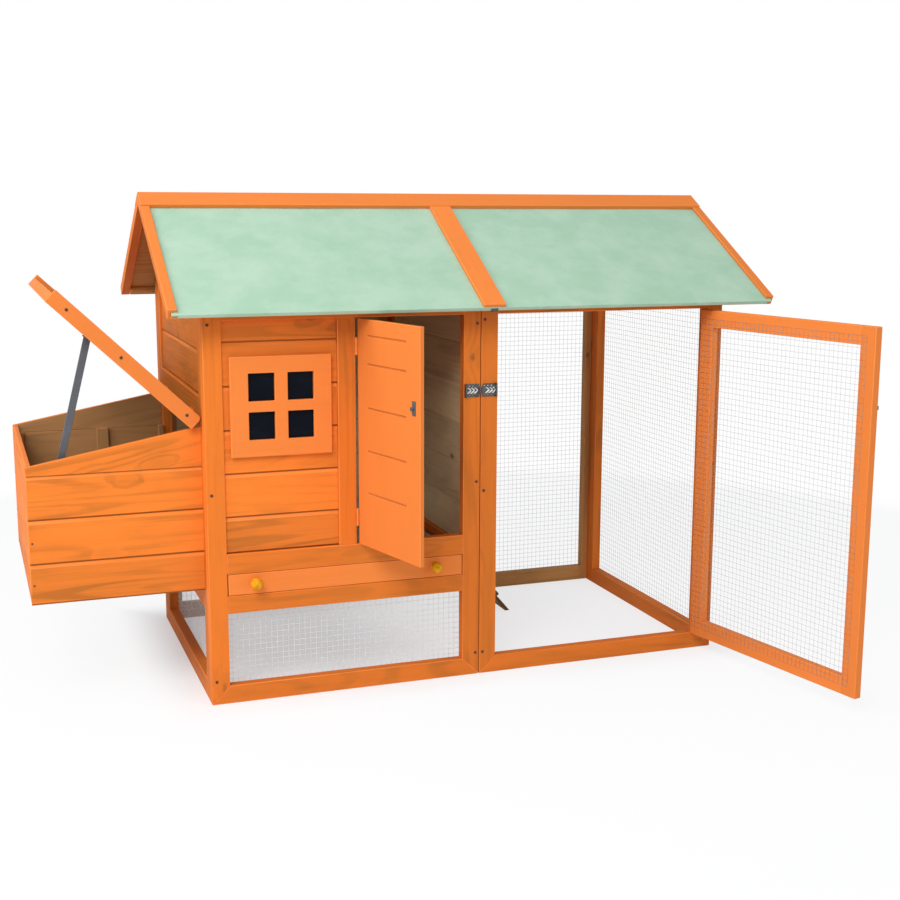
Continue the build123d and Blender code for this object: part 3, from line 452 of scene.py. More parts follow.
def painted_wood(made, settings):
    """Opaque orange paint over smooth wood: brush lines, faint grain, rubbed edges and painted shade in
    the door's grooves.
    """
    grain = made.attribute("grain", "Vector")
    brush = made.noise(grain, (5.0, 120.0, 120.0), detail=1.0, roughness=0.5)
    cloud = made.noise(grain, (3.0, 6.0, 6.0))
    ghost = made.noise(grain, (1.3, 42.0, 42.0), detail=2.0, roughness=0.55)
    deeper = shade(settings.paint, 0.80)
    color = made.mix(made.fade(cloud, 0.35, 0.75, 0.0, 0.42), settings.paint, deeper)
    # Painted shade, in part: the seed gives the door leaf, which faces the key lamp, a dark tone.
    color = made.mix(made.times(made.attribute("tone", "Fac"), 0.70), color, deeper)
    color = made.mix(made.fade(ghost, 0.45, 0.75, 0.0, 0.22), color, deeper)
    color = made.mix(made.fade(brush, 0.55, 0.85, 0.0, 0.10), color, settings.paint_worn)
    rub = made.fade(cloud, 0.35, 0.70, 0.15, 0.80)
    # Rubbed paint along the edges, and painted shade in the door's grooves.
    color = made.wear(color, rub, settings.paint_worn, 0.48, shade(settings.paint, 0.45))
    height = made.plus(made.times(brush, 0.6), made.times(ghost, 0.6))
    roughness = made.fade(brush, 0.25, 0.75, 0.56, 0.70)
    return made.surface(color, roughness, made.bump(height, 0.08, 0.0003), specular=0.12)


def roof_felt(made, settings):
    """Mineral felt: chalky clouds over green granules."""
    place = made.object_place()
    cloud = made.noise(place, 11.0, detail=5.0, roughness=0.62)
    stroke = made.noise(place, (14.0, 26.0, 26.0))
    grit = made.noise(place, 900.0, detail=2.0, roughness=0.7)
    color = made.mix(made.fade(cloud, 0.32, 0.70), settings.felt, settings.felt_light)
    color = made.mix(made.fade(stroke, 0.50, 0.76, 0.0, 0.50), color, settings.felt_light)
    color = made.mix(made.fade(grit, 0.52, 0.80, 0.0, 0.55), color, shade(settings.felt, 0.76))
    height = made.plus(grit, made.times(stroke, 0.8))
    roughness = made.fade(grit, 0.3, 0.7, 0.82, 0.97)
    return made.surface(color, roughness, made.bump(height, 0.35, 0.0007), specular=0.15)


def galvanised(made, tint, cell, rough, gloss):
    """Zinc on steel: a faint spangle, dull patches and fine scratches."""
    place = made.object_place()
    spangle = made.cells(place, 1.0 / cell)[1]
    patch = made.noise(place, 60.0)
    scratch = made.noise(place, (40.0, 900.0, 900.0), detail=2.0, roughness=0.55)
    dull = shade(tint, 0.62)
    color = made.mix(made.fade(spangle, 0.0, 1.0, 0.0, 0.35), tint, dull)
    color = made.mix(made.fade(patch, 0.48, 0.78, 0.0, 0.7), color, dull)
    uneven = made.fade(patch, 0.3, 0.7, rough - 0.06, rough + 0.12)
    roughness = made.plus(uneven, made.times(spangle, 0.10))
    height = made.plus(made.times(spangle, 0.4), scratch)
    return made.surface(color, roughness, made.bump(height, 0.12, 0.0002), metallic=gloss)


def coated_steel(made, tint, rough):
    """Powder-coated steel: orange-peel texture, chalky rubs and a slight speckle."""
    place = made.object_place()
    peel = made.noise(place, 700.0, detail=2.0, roughness=0.55)
    rub = made.noise(place, 45.0)
    pale = shade(tint, 1.5, 0.02)
    color = made.mix(made.fade(rub, 0.50, 0.80, 0.0, 0.6), tint, pale)
    color = made.mix(made.fade(peel, 0.55, 0.85, 0.0, 0.35), color, pale)
    roughness = made.fade(rub, 0.3, 0.7, rough - 0.06, rough + 0.14)
    return made.surface(color, roughness, made.bump(peel, 0.18, 0.0002), specular=0.25)


def dark_pane(made, tint):
    """Dark acrylic with wiped dust."""
    place = made.object_place()
    smear = made.noise(place, (9.0, 9.0, 30.0))
    dust = made.noise(place, 420.0, detail=2.0, roughness=0.55)
    veil = shade(tint, 1.0, 0.006)
    color = made.mix(made.fade(smear, 0.45, 0.80, 0.0, 0.8), tint, veil)
    color = made.mix(made.fade(dust, 0.62, 0.85, 0.0, 0.4), color, veil)
    roughness = made.fade(smear, 0.3, 0.75, 0.12, 0.34)
    return made.surface(color, roughness, made.bump(smear, 0.03, 0.0005), specular=0.05)


def lacquered_knob(made, tint):
    """Yellow lacquer over turned wood: faint rings, amber pools and fine specks."""
    place = made.object_place()
    pool = made.noise(place, 95.0)
    rings = made.add("ShaderNodeTexWave", wave_type="BANDS", bands_direction="Z", inputs={
        "Vector": place, "Scale": 70.0, "Distortion": 3.0, "Detail": 2.0}).outputs["Fac"]
    amber = [value * share for value, share in zip(tint, (0.62, 0.48, 0.5))]
    color = made.mix(made.fade(pool, 0.40, 0.72), tint, amber)
    color = made.mix(made.times(rings, 0.30), color, shade(tint, 1.1, 0.02))
    roughness = made.fade(pool, 0.3, 0.7, 0.24, 0.42)
    return made.surface(color, roughness, made.bump(pool, 0.08, 0.0004), specular=0.12)


def pale_floor(made, stage):
    """A floor that keeps the coop's shadow, glows whiter over the run as painted light, and fades to
    plain white away from it.
    """
    place = made.object_place()
    mottle = made.noise(place, 3.0, detail=3.0, roughness=0.55)
    color = made.mix(mottle, stage.floor, shade(stage.floor, 0.97))
    diffuse = made.add("ShaderNodeBsdfDiffuse", {"Color": color})
    white = made.add("ShaderNodeEmission", {"Color": WHITE, "Strength": 1.0})
    far = made.add("ShaderNodeVectorMath", {0: place}, operation="LENGTH").outputs["Value"]
    low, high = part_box("front_posts")[0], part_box("back_posts")[1]
    middle, half = (low + high) / 2, (high - low) / 2
    apart = made.add("ShaderNodeSeparateXYZ", {0: place}).outputs
    past = []
    for axis in range(2):
        off = made.math("ABSOLUTE", made.math("SUBTRACT", apart[axis], middle[axis]))
        past.append(made.math("SUBTRACT", off, half[axis]))
    seam = (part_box("run_back_net")[0].x + low.x) / 2
    # Painted light: the run's ground glows whiter than the ground under the house, standing for the light
    # that falls in through the run.
    inside = made.fade(apart[0], seam, seam + RUN_FADE, stage.near_white, stage.run_white)
    outside = made.fade(made.math("MAXIMUM", *past), *COOP_FADE, inside, OUTER_WHITE)
    share = made.math("MAXIMUM", outside, made.fade(far, *FAR_FADE))
    share = made.times(share, made.seen())
    blend = made.add("ShaderNodeMixShader", {0: share, 1: diffuse.outputs[0], 2: white.outputs[0]})
    made.add("ShaderNodeOutputMaterial", {"Surface": blend.outputs[0]})
    return made.owner


def finish_of(finish):
    """The material of one finish, made the first time that a piece asks for it."""
    scene = bpy.context.scene
    timber, wire, metal = scene.coop_timber, scene.coop_wire, scene.coop_metal
    stained = (timber.stain_deep, timber.knot, shade(timber.stain, 1.12, 0.03))
    # After the colours: wood has its figure, share of knots and roughness; zinc the size of its
    # spangle, its roughness and its share of bare metal; a coating its roughness.
    makers = {
        "stained_wood": (wood, "stained_frame", timber.frame_stain, *stained, 0.80, 0.20, 0.60),
        "wall_boards": (wood, "stained_boards", timber.stain, *stained, 0.82, 0.32, 0.60),
        "bare_inside": (wood, "bare_inside", *evenly(timber.inside, timber.knot), 0.60, 0.18, 0.70),
        "nest_inside": (wood, "nest_inside", *evenly(timber.nest, timber.knot), 0.70, 0.35, 0.70),
        # Painted shade: the browner colour for inward faces and undersides.
        "inner_stain": (wood, "inner_stain", *evenly(timber.inner, timber.knot), 0.60, 0.25, 0.68),
        "ramp_stain": (wood, "ramp_stain", timber.ramp, shade(timber.ramp, 0.5), timber.ramp,
                       timber.inner, 0.60, 0.20, 0.68),
        "painted_wood": (painted_wood, "orange_paint", timber),
        "green_felt": (roof_felt, "green_mineral_felt", scene.coop_roof),
        "wire_net": (galvanised, "zinc_wire", wire.zinc, 0.006, 0.55, 0.05),
        # Painted highlight: the wire under the house is a paler copy of the run's zinc.
        "bright_wire": (galvanised, "bright_wire", wire.bright_zinc, 0.006, 0.55, 0.05),
        "zinc_steel": (galvanised, "zinc_plate", metal.zinc, 0.004, 0.34, 1.0),
        "dull_zinc": (galvanised, "dull_zinc", metal.zinc_dark, 0.003, 0.40, 0.7),
        "tray_steel": (galvanised, "galvanised_sheet", metal.sheet, 0.018, 0.36, 1.0),
        "brown_steel": (galvanised, "brown_screws", metal.screw, 0.002, 0.60, 0.1),
        "grey_steel": (coated_steel, "grey_coating", metal.prop, 0.46),
        "painted_steel": (coated_steel, "painted_hinges", timber.paint, 0.55),
        "dark_pane": (dark_pane, "dark_acrylic", metal.pane),
        "yellow_knob": (lacquered_knob, "yellow_lacquer", metal.knob),
    }
    maker, name, *values = makers[finish]
    return bpy.data.materials.get(name) or maker(Nodes(bpy.data.materials.new(name)), *values)


def node_finish(node, finish):
    """Gives a CAD node a finish, its shape left as it is."""
    mesh = frame["nodes"][node].data
    mesh.materials.clear()
    mesh.materials.append(finish_of(finish))


def middle_of(first, last):
    """The middle between one node's lowest corner and another's highest."""
    return (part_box(first)[0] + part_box(last)[1]) / 2


def shells(mesh):
    """Lists of a CAD mesh's polygons, one list for each solid: a solid ends where its shell closes."""
    corner = [tuple(round(value / SAME_POINT) for value in vertex.co) for vertex in mesh.vertices]
    open_edges = set()
    current = []
    found = []
    for polygon in mesh.polygons:
        ring = [corner[index] for index in polygon.vertices]
        current.append(polygon.index)
        for start, end in zip(ring, ring[1:] + ring[:1]):
            if (end, start) in open_edges:
                open_edges.remove((end, start))
            else:
                open_edges.add((start, end))
        if not open_edges:
            found.append(current)
            current = []
    return found


def node_copy(node):
    """A merged copy of a CAD node: a bmesh, and for each solid its list of faces."""
    mesh = frame["nodes"][node].data
    bm = bmesh.new()
    bm.from_mesh(mesh)
    bm.faces.ensure_lookup_table()
    solid_id = bm.faces.layers.int.new("solid")
    groups = [[bm.faces[index] for index in polygons] for polygons in shells(mesh)]
    if not groups:
        raise RuntimeError(f"{node} has no closed solid to copy")
    for number, faces in enumerate(groups):
        for face in faces:
            face[solid_id] = number
    for faces in groups:
        bmesh.ops.remove_doubles(bm, verts=points_of(faces), dist=SAME_POINT)
    bmesh.ops.dissolve_limit(bm, angle_limit=FLAT_TURN, verts=bm.verts, edges=bm.edges)
    solids = [[] for _ in groups]
    for face in bm.faces:
        solids[face[solid_id]].append(face)
    return bm, solids


def once(items):
    """The items in their own order, each once. A set of them would change its order from run to run."""
    return list(dict.fromkeys(items))


def points_of(faces):
    return once(vert for face in faces for vert in face.verts)


def edges_of(faces):
    return once(edge for face in faces for edge in face.edges)


def edges_at(verts):
    return once(edge for vert in verts for edge in vert.link_edges)


def rim_at(verts):
    return [edge for edge in edges_at(verts) if edge.is_boundary]


def points_in(geometry):
    """The points among the mixed results of a mesh operator."""
    return [item for item in geometry if isinstance(item, bmesh.types.BMVert)]


def box_of(faces):
    """The lowest and the highest corner of some faces."""
    columns = list(zip(*(vert.co for vert in points_of(faces))))
    return [Vector([end(column) for column in columns]) for end in (min, max)]


def direction(edge):
    return (edge.verts[1].co - edge.verts[0].co).normalized()


def lie_of(faces):
    """How a solid lies: its middle, its length, breadth and thickness directions, and half its sizes."""
    edges = sorted(edges_of(faces), key=lambda edge: -edge.calc_length())
    along = direction(edges[0])
    way = next(way for way in map(direction, edges) if abs(way.dot(along)) < ACROSS)
    across = (way - along * way.dot(along)).normalized()
    axes = (along, across, along.cross(across))
    spans = [[vert.co.dot(axis) for vert in points_of(faces)] for axis in axes]
    middle = sum((axis * (min(span) + max(span)) / 2 for axis, span in zip(axes, spans)), Vector())
    return middle, axes, [(max(span) - min(span)) / 2 for span in spans]


def mark(bm, faces, value):
    """Writes how worn or how shaded some faces are, from 1 for rubbed to -1 for painted shade."""
    edge_mark = bm.loops.layers.float["edge"]
    for face in faces:
        for loop in face.loops:
            loop[edge_mark] = value


def bevel(bm, edges, radius, segments):
    """Rounds some edges and gives back the new faces."""
    made = bmesh.ops.bevel(bm, geom=edges, offset=radius, offset_type="OFFSET", segments=segments,
                           profile=0.5, affect="EDGES", material=-1, clamp_overlap=True)
    return made["faces"]


def ease_edges(bm, faces, radius):
    """Rounds a solid's sharp edges; the new faces are marked as worn edges."""
    sharp = [edge for edge in edges_of(faces) if edge.is_manifold and edge.calc_face_angle() > SHARP_TURN]
    made = bevel(bm, sharp, radius, 2)
    mark(bm, made, RUBBED)
    bmesh.ops.remove_doubles(bm, verts=points_of(made), dist=NEAR_POINT)


def eased_copy(node, radius):
    """A rounded copy of a node: a bmesh, and how each of its solids lies."""
    bm, solids = node_copy(node)
    bm.loops.layers.float.new("edge")
    lies = [lie_of(faces) for faces in solids]
    for faces in solids:
        ease_edges(bm, faces, radius)
    return bm, lies


def standing(place, way):
    """A matrix that puts a shape at a place, with its upright along a direction."""
    return Matrix.Translation(place) @ way.to_track_quat("Z", "Y").to_matrix().to_4x4()


def rod(bm, sides, radius, length, matrix):
    """A straight closed rod; gives back its points."""
    made = bmesh.ops.create_cone(bm, cap_ends=True, segments=sides, radius1=radius, radius2=radius,
                                 depth=length, matrix=matrix)
    return made["verts"]


def new_object(name, data):
    made = bpy.data.objects.new(name, data)
    bpy.context.scene.collection.objects.link(made)
    return made


def add_piece(bm, name, node, finish, smooth=False):
    """Turns a bmesh into a piece of the coop that rides on its node's body and stands for that node."""
    bmesh.ops.triangulate(bm, faces=[face for face in bm.faces if len(face.verts) > 4])
    mesh = bpy.data.meshes.new(name)
    for face in bm.faces:
        face.smooth = smooth
    bm.to_mesh(mesh)
    bm.free()
    piece = new_object(name, mesh)
    mesh.materials.append(finish_of(finish))
    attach(piece, BODY_OF[node])
    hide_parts(node)
    return piece


def grain_place(node, number):
    """Where in the tree one length of timber was cut: three shifts and a tone."""
    dice = random.Random(f"{SEED} {node} {number}")
    return [dice.uniform(-reach, reach) for reach in GRAIN_REACH], dice.random()


def grained_piece(node, radius):
    """A wood node with eased edges and, on each length, its own run of grain."""
    bm, lies = eased_copy(node, radius)
    if SLOT_OF[node] == "wall_boards":
        mark_grooves(bm)
    if node == "house_door_leaf":
        mark_hollows(bm, lies[0])
    grain = bm.verts.layers.float_vector.new("grain")
    tone = bm.verts.layers.float.new("tone")
    solid_id = bm.faces.layers.int["solid"]
    places = [grain_place(node, number) for number in range(len(lies))]
    for face in bm.faces:
        middle, axes, _ = lies[face[solid_id]]
        shifts, solid_tone = places[face[solid_id]]
        for vert in face.verts:
            offset = vert.co - middle
            vert[grain] = Vector([offset.dot(axis) + shift for axis, shift in zip(axes, shifts)])
            vert[tone] = solid_tone
    return add_piece(bm, "wood." + node, node, OWN_FINISH.get(node, SLOT_OF[node]))


def mark_grooves(bm):
    """Marks the slopes between wall boards: a painted highlight where they look up, painted shade where
    they look down.
    """
    low, high = GROOVE_SLOPES
    for face in bm.faces:
        if low < abs(face.normal.z) < high:
            mark(bm, [face], LIP_HIGHLIGHT if face.normal.z > 0 else HOLLOW_SHADE)


def mark_hollows(bm, lie):
    """Marks the faces sunk into one flat solid, away from its edges, as painted shade."""
    middle, axes, half = lie
    room = [size - margin for size, margin in zip(half, HOLLOW_MARGINS)]
    for face in bm.faces:
        offset = face.calc_center_median() - middle
        if all(abs(offset.dot(axis)) < limit for axis, limit in zip(axes, room)):
            mark(bm, [face], HOLLOW_SHADE)


def finish_inner_faces(piece, heart, finish):
    """Gives a second finish to the faces of a piece that look towards a place."""
    piece.data.materials.append(finish_of(finish))
    for polygon in piece.data.polygons:
        inward = heart - polygon.center
        axis = max(range(3), key=lambda number: abs(polygon.normal[number]))
        if abs(polygon.normal[axis]) > ALONG and polygon.normal[axis] * inward[axis] > 0:
            polygon.material_index = 1


class COOP_OT_frame_timber(Operator):
    """Rounds the sawn frame timber and gives each length its own grain"""
    bl_idname = "coop.frame_timber"
    bl_label = "Frame timber"

    def execute(self, context):
        for node in NODES_OF["stained_wood"]:
            piece = grained_piece(node, context.scene.coop_timber.edge_round)
            # Painted shade on the faces that look into the coop.
            if node in INNER_TIMBER:
                finish_inner_faces(piece, middle_of("front_posts", "back_posts"), "inner_stain")
        return {"FINISHED"}


class COOP_OT_wall_boards(Operator):
    """Rounds the wall boards, grains each one and leaves their inner faces bare"""
    bl_idname = "coop.wall_boards"
    bl_label = "Wall boards"

    def execute(self, context):
        for node in NODES_OF["wall_boards"]:
            piece = grained_piece(node, context.scene.coop_timber.board_edge_round)
            in_nest = node.startswith("nest")
            heart = "nest_floor" if in_nest else "perch"
            finish = "nest_inside" if in_nest else "bare_inside"
            finish_inner_faces(piece, middle_of(heart, heart), finish)
        return {"FINISHED"}


class COOP_OT_painted_wood(Operator):
    """Rounds and paints the doors, the lid, the trim and the roof boards"""
    bl_idname = "coop.painted_wood"
    bl_label = "Painted wood"

    def execute(self, context):
        for node in NODES_OF["painted_wood"]:
            grained_piece(node, context.scene.coop_timber.paint_edge_round)
        return {"FINISHED"}


class COOP_OT_felt(Operator):
    """Lays the felt on the roof and the lid, with slow ripples in it"""
    bl_idname = "coop.felt"
    bl_label = "Roofing felt"

    def execute(self, context):
        for node in NODES_OF["green_felt"]:
            bm, solids = node_copy(node)
            for faces in solids:
                self.ripple(bm, faces, context.scene.coop_roof)
            add_piece(bm, "felt." + node, node, "green_felt")
        return {"FINISHED"}

    @staticmethod
    def ripple(bm, faces, roof):
        """Cuts one felt into cells and lifts its upper face in slow waves."""
        middle, axes, half = lie_of(faces)
        felt = points_of(faces) + edges_of(faces) + faces
        for way, size in zip(axes[:2], half[:2]):
            cells = max(2, round(2 * size / roof.ripple_cell))
            for number in range(1, cells):
                place = middle + way * size * (2 * number / cells - 1)
                felt = bmesh.ops.bisect_plane(
                    bm, geom=felt, dist=SAME_POINT, plane_co=place, plane_no=way)["geom"]
        up = axes[2] if axes[2].z > 0 else -axes[2]
        top = middle.dot(up) + half[2]
        for vert in points_in(felt):
            if vert.co.dot(up) > top - FELT_TOP:
                wave = sum(share * noise.noise(vert.co * scale) for scale, share in FELT_WAVES)
                vert.co += up * roof.ripple * wave


class COOP_OT_window(Operator):
    """Finishes the dark sheet behind the window trim"""
    bl_idname = "coop.window"
    bl_label = "Window pane"

    def execute(self, context):
        node_finish("window_pane", "dark_pane")
        return {"FINISHED"}


class COOP_OT_netting(Operator):
    """Welds the wire netting: crossing wires over each CAD sheet"""
    bl_idname = "coop.netting"
    bl_label = "Wire netting"

    def execute(self, context):
        wire = context.scene.coop_wire
        noise.seed_set(SEED)
        for node in NODES_OF["wire_net"]:
            source, solids = node_copy(node)
            skirt = node == "skirt_nets"
            radius = wire.skirt_radius if skirt else wire.radius
            bm = bmesh.new()
            for middle, (along, across, out), half in map(lie_of, solids):
                step = out * radius * WIRE_NEST
                self.layer(bm, wire, radius, middle + step, along, across, half[0], half[1])
                self.layer(bm, wire, radius, middle - step, across, along, half[1], half[0])
                for vert in bm.verts:
                    if not vert.tag:
                        vert.co += noise.noise_vector(vert.co * WIRE_WAVES) * wire.wander
                        vert.tag = True
            source.free()
            # Painted highlight: the wire under the house takes the paler copy of the zinc.
            add_piece(bm, "net." + node, node, "bright_wire" if skirt else "wire_net", smooth=True)
        return {"FINISHED"}

    @staticmethod
    def layer(bm, wire, radius, middle, along, across, reach, breadth):
        """One layer of wires that run along one direction of a sheet."""
        room = breadth - radius * 2
        count = round(2 * room / wire.pitch)
        for number in range(count + 1):
            place = middle + across * (2 * room * number / count - room)
            verts = rod(bm, WIRE_SIDES, radius, 2 * reach - radius, standing(place, along))
            sides = [edge for edge in edges_at(verts) if abs(direction(edge).dot(along)) > ALONG]
            bmesh.ops.subdivide_edges(bm, edges=sides, cuts=wire.cuts)


class COOP_OT_fittings(Operator):
    """Finishes the hinges, the catches and the roof clips"""
    bl_idname = "coop.fittings"
    bl_label = "Hinges and catches"

    def execute(self, context):
        for node in NODES_OF["painted_steel"]:
            node_finish(node, "painted_steel")
        for node, finish in FITTINGS.items():
            node_finish(node, finish)
        return {"FINISHED"}


class COOP_OT_latches(Operator):
    """Rounds the latch loops and plates, presses chevron ribs into the plates and gives the ribs bright
    zinc against the dark plate as painted highlight stripes
    """
    bl_idname = "coop.latches"
    bl_label = "Door latches"

    def execute(self, context):
        for node in ("house_latch_loop", "run_latch_loop"):
            bm, _ = eased_copy(node, LOOP_EASE)
            add_piece(bm, "loop." + node, node, "dull_zinc")
        bm, solids = node_copy("latch_bases")
        bm.loops.layers.float.new("edge")
        plates = []
        for faces in solids:
            low, high = box_of(faces)
            if high.x - low.x > PLATE_LENGTH:
                plates.append((low, high))
                ease_edges(bm, faces, PLATE_EASE)
        plain = set(bm.faces)
        for low, high in plates:
            self.ribs(bm, low, high)
        # Painted highlight: the ribs take the bright zinc of the second slot and the plate keeps the dark
        # zinc.
        for face in bm.faces:
            face.material_index = int(face not in plain)
        piece = add_piece(bm, "latches.bases", "latch_bases", "dull_zinc")
        piece.data.materials.append(finish_of("zinc_steel"))
        return {"FINISHED"}

    @staticmethod
    def ribs(bm, low, high):
        """Three chevron ribs across a plate, between its foot and its head."""
        middle = (low + high) / 2
        size = Matrix.Diagonal((*RIB_SIZE, 1.0))
        for number in (-1, 0, 1):
            for level in (-1, 1):
                turn = Matrix.Rotation(RIB_TURN * level, 4, "Y")
                step = Vector((number * RIB_STEP, 0.0, level * RIB_LEVEL))
                place = Vector((middle.x, high.y - RIB_STAND, middle.z)) + step
                made = bmesh.ops.create_cube(bm, size=1.0, matrix=Matrix.Translation(place) @ turn @ size)
                bevel(bm, edges_at(made["verts"]), RIB_EASE, 1)


class COOP_OT_screws(Operator):
    """Turns the screw and nail heads, each screw with a cross recess"""
    bl_idname = "coop.screws"
    bl_label = "Screws and nails"

    def execute(self, context):
        for node in NODES_OF["brown_steel"]:
            source, solids = node_copy(node)
            bm = bmesh.new()
            for faces in solids:
                flat = max(faces, key=lambda face: face.calc_area())
                self.head(bm, [vert.co for vert in points_of(faces)], flat.normal)
            source.free()
            bmesh.ops.recalc_face_normals(bm, faces=bm.faces)
            add_piece(bm, "heads." + node, node, "brown_steel")
        return {"FINISHED"}

    @staticmethod
    def head(bm, points, way):
        """One head over the points of its CAD disc, which faces one way along the screw."""
        middle = sum(points, Vector()) / len(points)
        depths = [point.dot(way) for point in points]
        radius = max(((point - middle) - way * (point - middle).dot(way)).length for point in points)
        height = max(depths) - min(depths)
        front = -way if way.y > 0 else way
        verts = bmesh.ops.create_grid(bm, x_segments=HEAD_CELLS, y_segments=HEAD_CELLS, size=1.0)["verts"]
        for vert in verts:
            x, y = vert.co.xy
            round_x = x * math.sqrt(1 - y * y / 2)
            round_y = y * math.sqrt(1 - x * x / 2)
            dome = 1 - HEAD_DOME * (round_x ** 2 + round_y ** 2)
            vert.co = Vector((round_x * radius, round_y * radius, dome * height))
        if radius > NAIL_RADIUS:
            cross = []
            for face in once(face for vert in verts for face in vert.link_faces):
                spot = face.calc_center_median().xy / radius
                if min(abs(spot.x), abs(spot.y)) < RECESS_HALF_WIDTH and spot.length < RECESS_REACH:
                    cross.append(face)
            low = points_in(bmesh.ops.extrude_face_region(bm, geom=cross)["geom"])
            bmesh.ops.delete(bm, geom=cross, context="FACES")
            bmesh.ops.translate(bm, verts=low, vec=(0, 0, -height * RECESS_DEPTH))
            verts = verts + low
        foot = points_in(bmesh.ops.extrude_edge_only(bm, edges=rim_at(verts))["geom"])
        for vert in foot:
            vert.co.z = 0.0
        bmesh.ops.holes_fill(bm, edges=rim_at(foot), sides=0)
        base = standing(middle - front * height / 2, front)
        bmesh.ops.transform(bm, verts=once(verts + foot), matrix=base)


class COOP_OT_tray(Operator):
    """Hems the tray's sheet rim and turns its knobs"""
    bl_idname = "coop.tray"
    bl_label = "Tray and knobs"

    def execute(self, context):
        self.pan()
        self.knobs()
        return {"FINISHED"}

    @staticmethod
    def pan():
        bm, _ = node_copy("tray_pan")
        hem = Vector((HEM_RADIUS, HEM_RADIUS, HEM_RADIUS))
        low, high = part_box("tray_pan")[0] + hem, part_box("tray_pan")[1] - hem
        plan = ((low.x, low.y), (high.x, low.y), (high.x, high.y), (low.x, high.y))
        corners = [Vector((x, y, high.z)) for x, y in plan]
        for start, end in zip(corners, corners[1:] + corners[:1]):
            rod(bm, HEM_SIDES, HEM_RADIUS, (end - start).length, standing((start + end) / 2, end - start))
        add_piece(bm, "tray.pan", "tray_pan", "tray_steel")

    @staticmethod
    def knobs():
        low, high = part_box("tray_knobs")
        ball = (high.z - low.z) / 2
        depth = (high.y - low.y) / KNOB_OUTLINE[-1][1]
        bm = bmesh.new()
        for x in (low.x + ball, high.x - ball):
            chain = [bm.verts.new((x + out * ball, low.y + back * depth, low.z + ball))
                     for out, back in KNOB_OUTLINE]
            edges = [bm.edges.new(pair) for pair in zip(chain, chain[1:])]
            bmesh.ops.spin(bm, geom=chain + edges, cent=(x, low.y, low.z + ball), axis=(0, 1, 0),
                           dvec=(0, 0, 0), angle=math.tau, steps=KNOB_STEPS, use_merge=True)
        bmesh.ops.remove_doubles(bm, verts=bm.verts, dist=SAME_POINT)
        bmesh.ops.recalc_face_normals(bm, faces=bm.faces)
        add_piece(bm, "tray.knobs", "tray_knobs", "yellow_knob", smooth=True)


class COOP_OT_lid_prop(Operator):
    """Coats the lid's prop, its bracket and its peg"""
    bl_idname = "coop.lid_prop"
    bl_label = "Lid prop"

    def execute(self, context):
        bm, _ = eased_copy("lid_prop", PROP_EASE)
        add_piece(bm, "prop.bar", "lid_prop", "grey_steel")
        for node in ("lid_prop_bracket", "lid_prop_peg"):
            node_finish(node, "grey_steel")
        return {"FINISHED"}


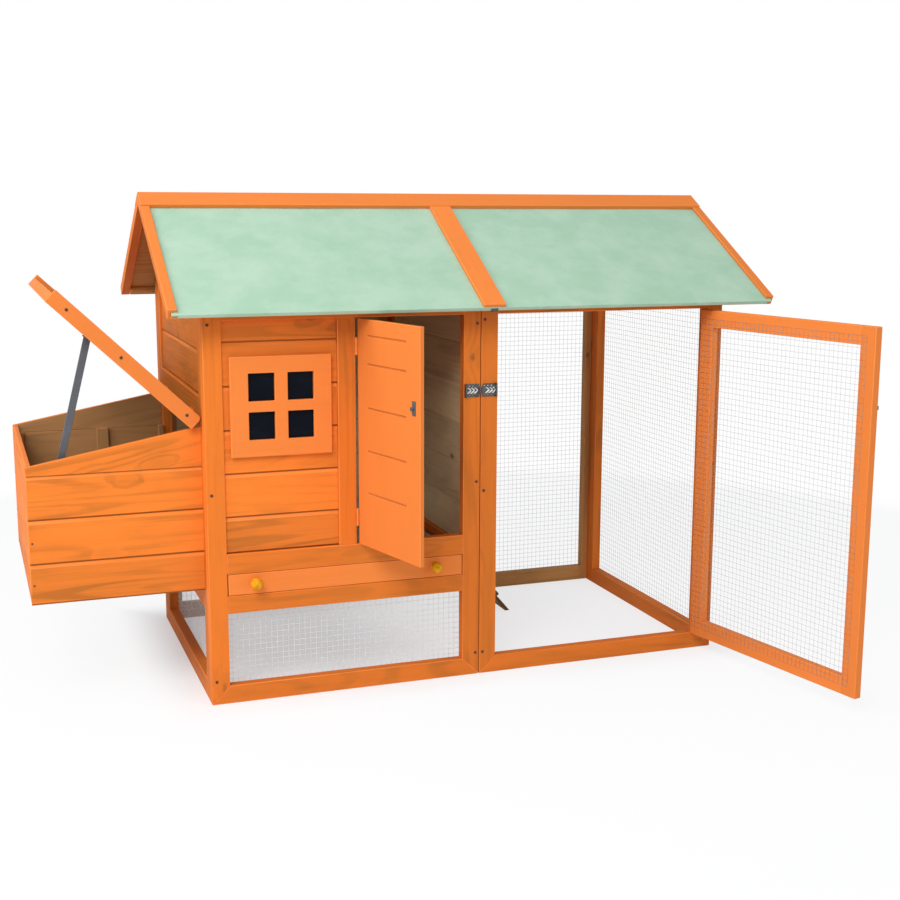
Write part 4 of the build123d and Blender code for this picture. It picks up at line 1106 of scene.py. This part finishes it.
class COOP_OT_stage(Operator):
    """Sets the pale floor, the soft lamps, the plain background and the camera"""
    bl_idname = "coop.stage"
    bl_label = "Stage and camera"

    def execute(self, context):
        stage = context.scene.coop_stage
        self.floor(stage)
        self.background(context.scene, stage)
        for name, (size, place, target) in LAMPS.items():
            self.lamp(name, getattr(stage, name), size, place, target)
        self.camera(context.scene, stage)
        context.scene.view_settings.view_transform = "Standard"
        return {"FINISHED"}

    @staticmethod
    def floor(stage):
        bm = bmesh.new()
        bmesh.ops.create_grid(bm, x_segments=4, y_segments=4, size=FLOOR_REACH)
        bmesh.ops.translate(bm, verts=bm.verts, vec=(0, 0, -FLOOR_DROP))
        mesh = bpy.data.meshes.new("floor")
        bm.to_mesh(mesh)
        bm.free()
        mesh.materials.append(pale_floor(Nodes(bpy.data.materials.new("pale_floor")), stage))
        new_object("floor", mesh)

    @staticmethod
    def background(scene, stage):
        scene.world = bpy.data.worlds.new("studio")
        made = Nodes(scene.world)
        light = made.add("ShaderNodeBackground", {
            "Color": (*stage.ambient_tint, 1.0), "Strength": stage.ambient})
        white = made.add("ShaderNodeBackground", {"Color": WHITE})
        blend = made.add("ShaderNodeMixShader", {
            0: made.seen(), 1: light.outputs[0], 2: white.outputs[0]})
        made.add("ShaderNodeOutputWorld", {"Surface": blend.outputs[0]})

    @staticmethod
    def lamp(name, power, size, place, target):
        light = bpy.data.lights.new(name, "AREA")
        light.energy = power
        light.size = size
        lamp = new_object(name, light)
        lamp.location = place
        lamp.rotation_euler = (Vector(target) - Vector(place)).to_track_quat("-Z", "Y").to_euler()

    @staticmethod
    def camera(scene, stage):
        lens = bpy.data.cameras.new("camera")
        lens.lens = stage.lens
        lens.sensor_width = SENSOR_WIDTH
        lens.clip_end = CLIP_END
        scene.camera = new_object("camera", lens)
        turn = Matrix.Rotation(-stage.yaw, 4, "Z") @ Matrix.Rotation(math.pi / 2 + stage.pitch, 4, "X")
        roll = Matrix.Rotation(stage.roll, 4, "Z")
        scene.camera.matrix_world = Matrix.Translation(stage.eye) @ turn @ roll


class COOP_PT_looks(Panel):
    """Lists the steps that dress the coop, with their sizes and colours"""
    bl_idname = "COOP_PT_looks"
    bl_label = "Chicken coop"
    bl_space_type = "VIEW_3D"
    bl_region_type = "UI"
    bl_category = "Coop"

    def draw(self, context):
        for group in GROUPS:
            box = self.layout.box()
            settings = getattr(context.scene, group)
            for key in settings.__annotations__:
                box.prop(settings, key)
        for operator in OPERATORS:
            self.layout.operator(operator.bl_idname)


GROUPS = {
    "coop_timber": CoopTimber, "coop_roof": CoopRoof, "coop_wire": CoopWire, "coop_metal": CoopMetal,
    "coop_stage": CoopStage,
}
OPERATORS = (
    COOP_OT_stage, COOP_OT_frame_timber, COOP_OT_wall_boards, COOP_OT_painted_wood, COOP_OT_felt,
    COOP_OT_window, COOP_OT_netting, COOP_OT_fittings, COOP_OT_latches, COOP_OT_screws, COOP_OT_tray,
    COOP_OT_lid_prop,
)


def register():
    for name, group in GROUPS.items():
        bpy.utils.register_class(group)
        setattr(bpy.types.Scene, name, PointerProperty(type=group))
    for operator in OPERATORS:
        bpy.utils.register_class(operator)
    bpy.utils.register_class(COOP_PT_looks)


def unregister():
    bpy.utils.unregister_class(COOP_PT_looks)
    for operator in reversed(OPERATORS):
        bpy.utils.unregister_class(operator)
    for name, group in GROUPS.items():
        delattr(bpy.types.Scene, name)
        bpy.utils.unregister_class(group)


def main():
    register()
    for operator in OPERATORS:
        family, action = operator.bl_idname.split(".")
        getattr(getattr(bpy.ops, family), action)()


if __name__ == "__main__":
    main()
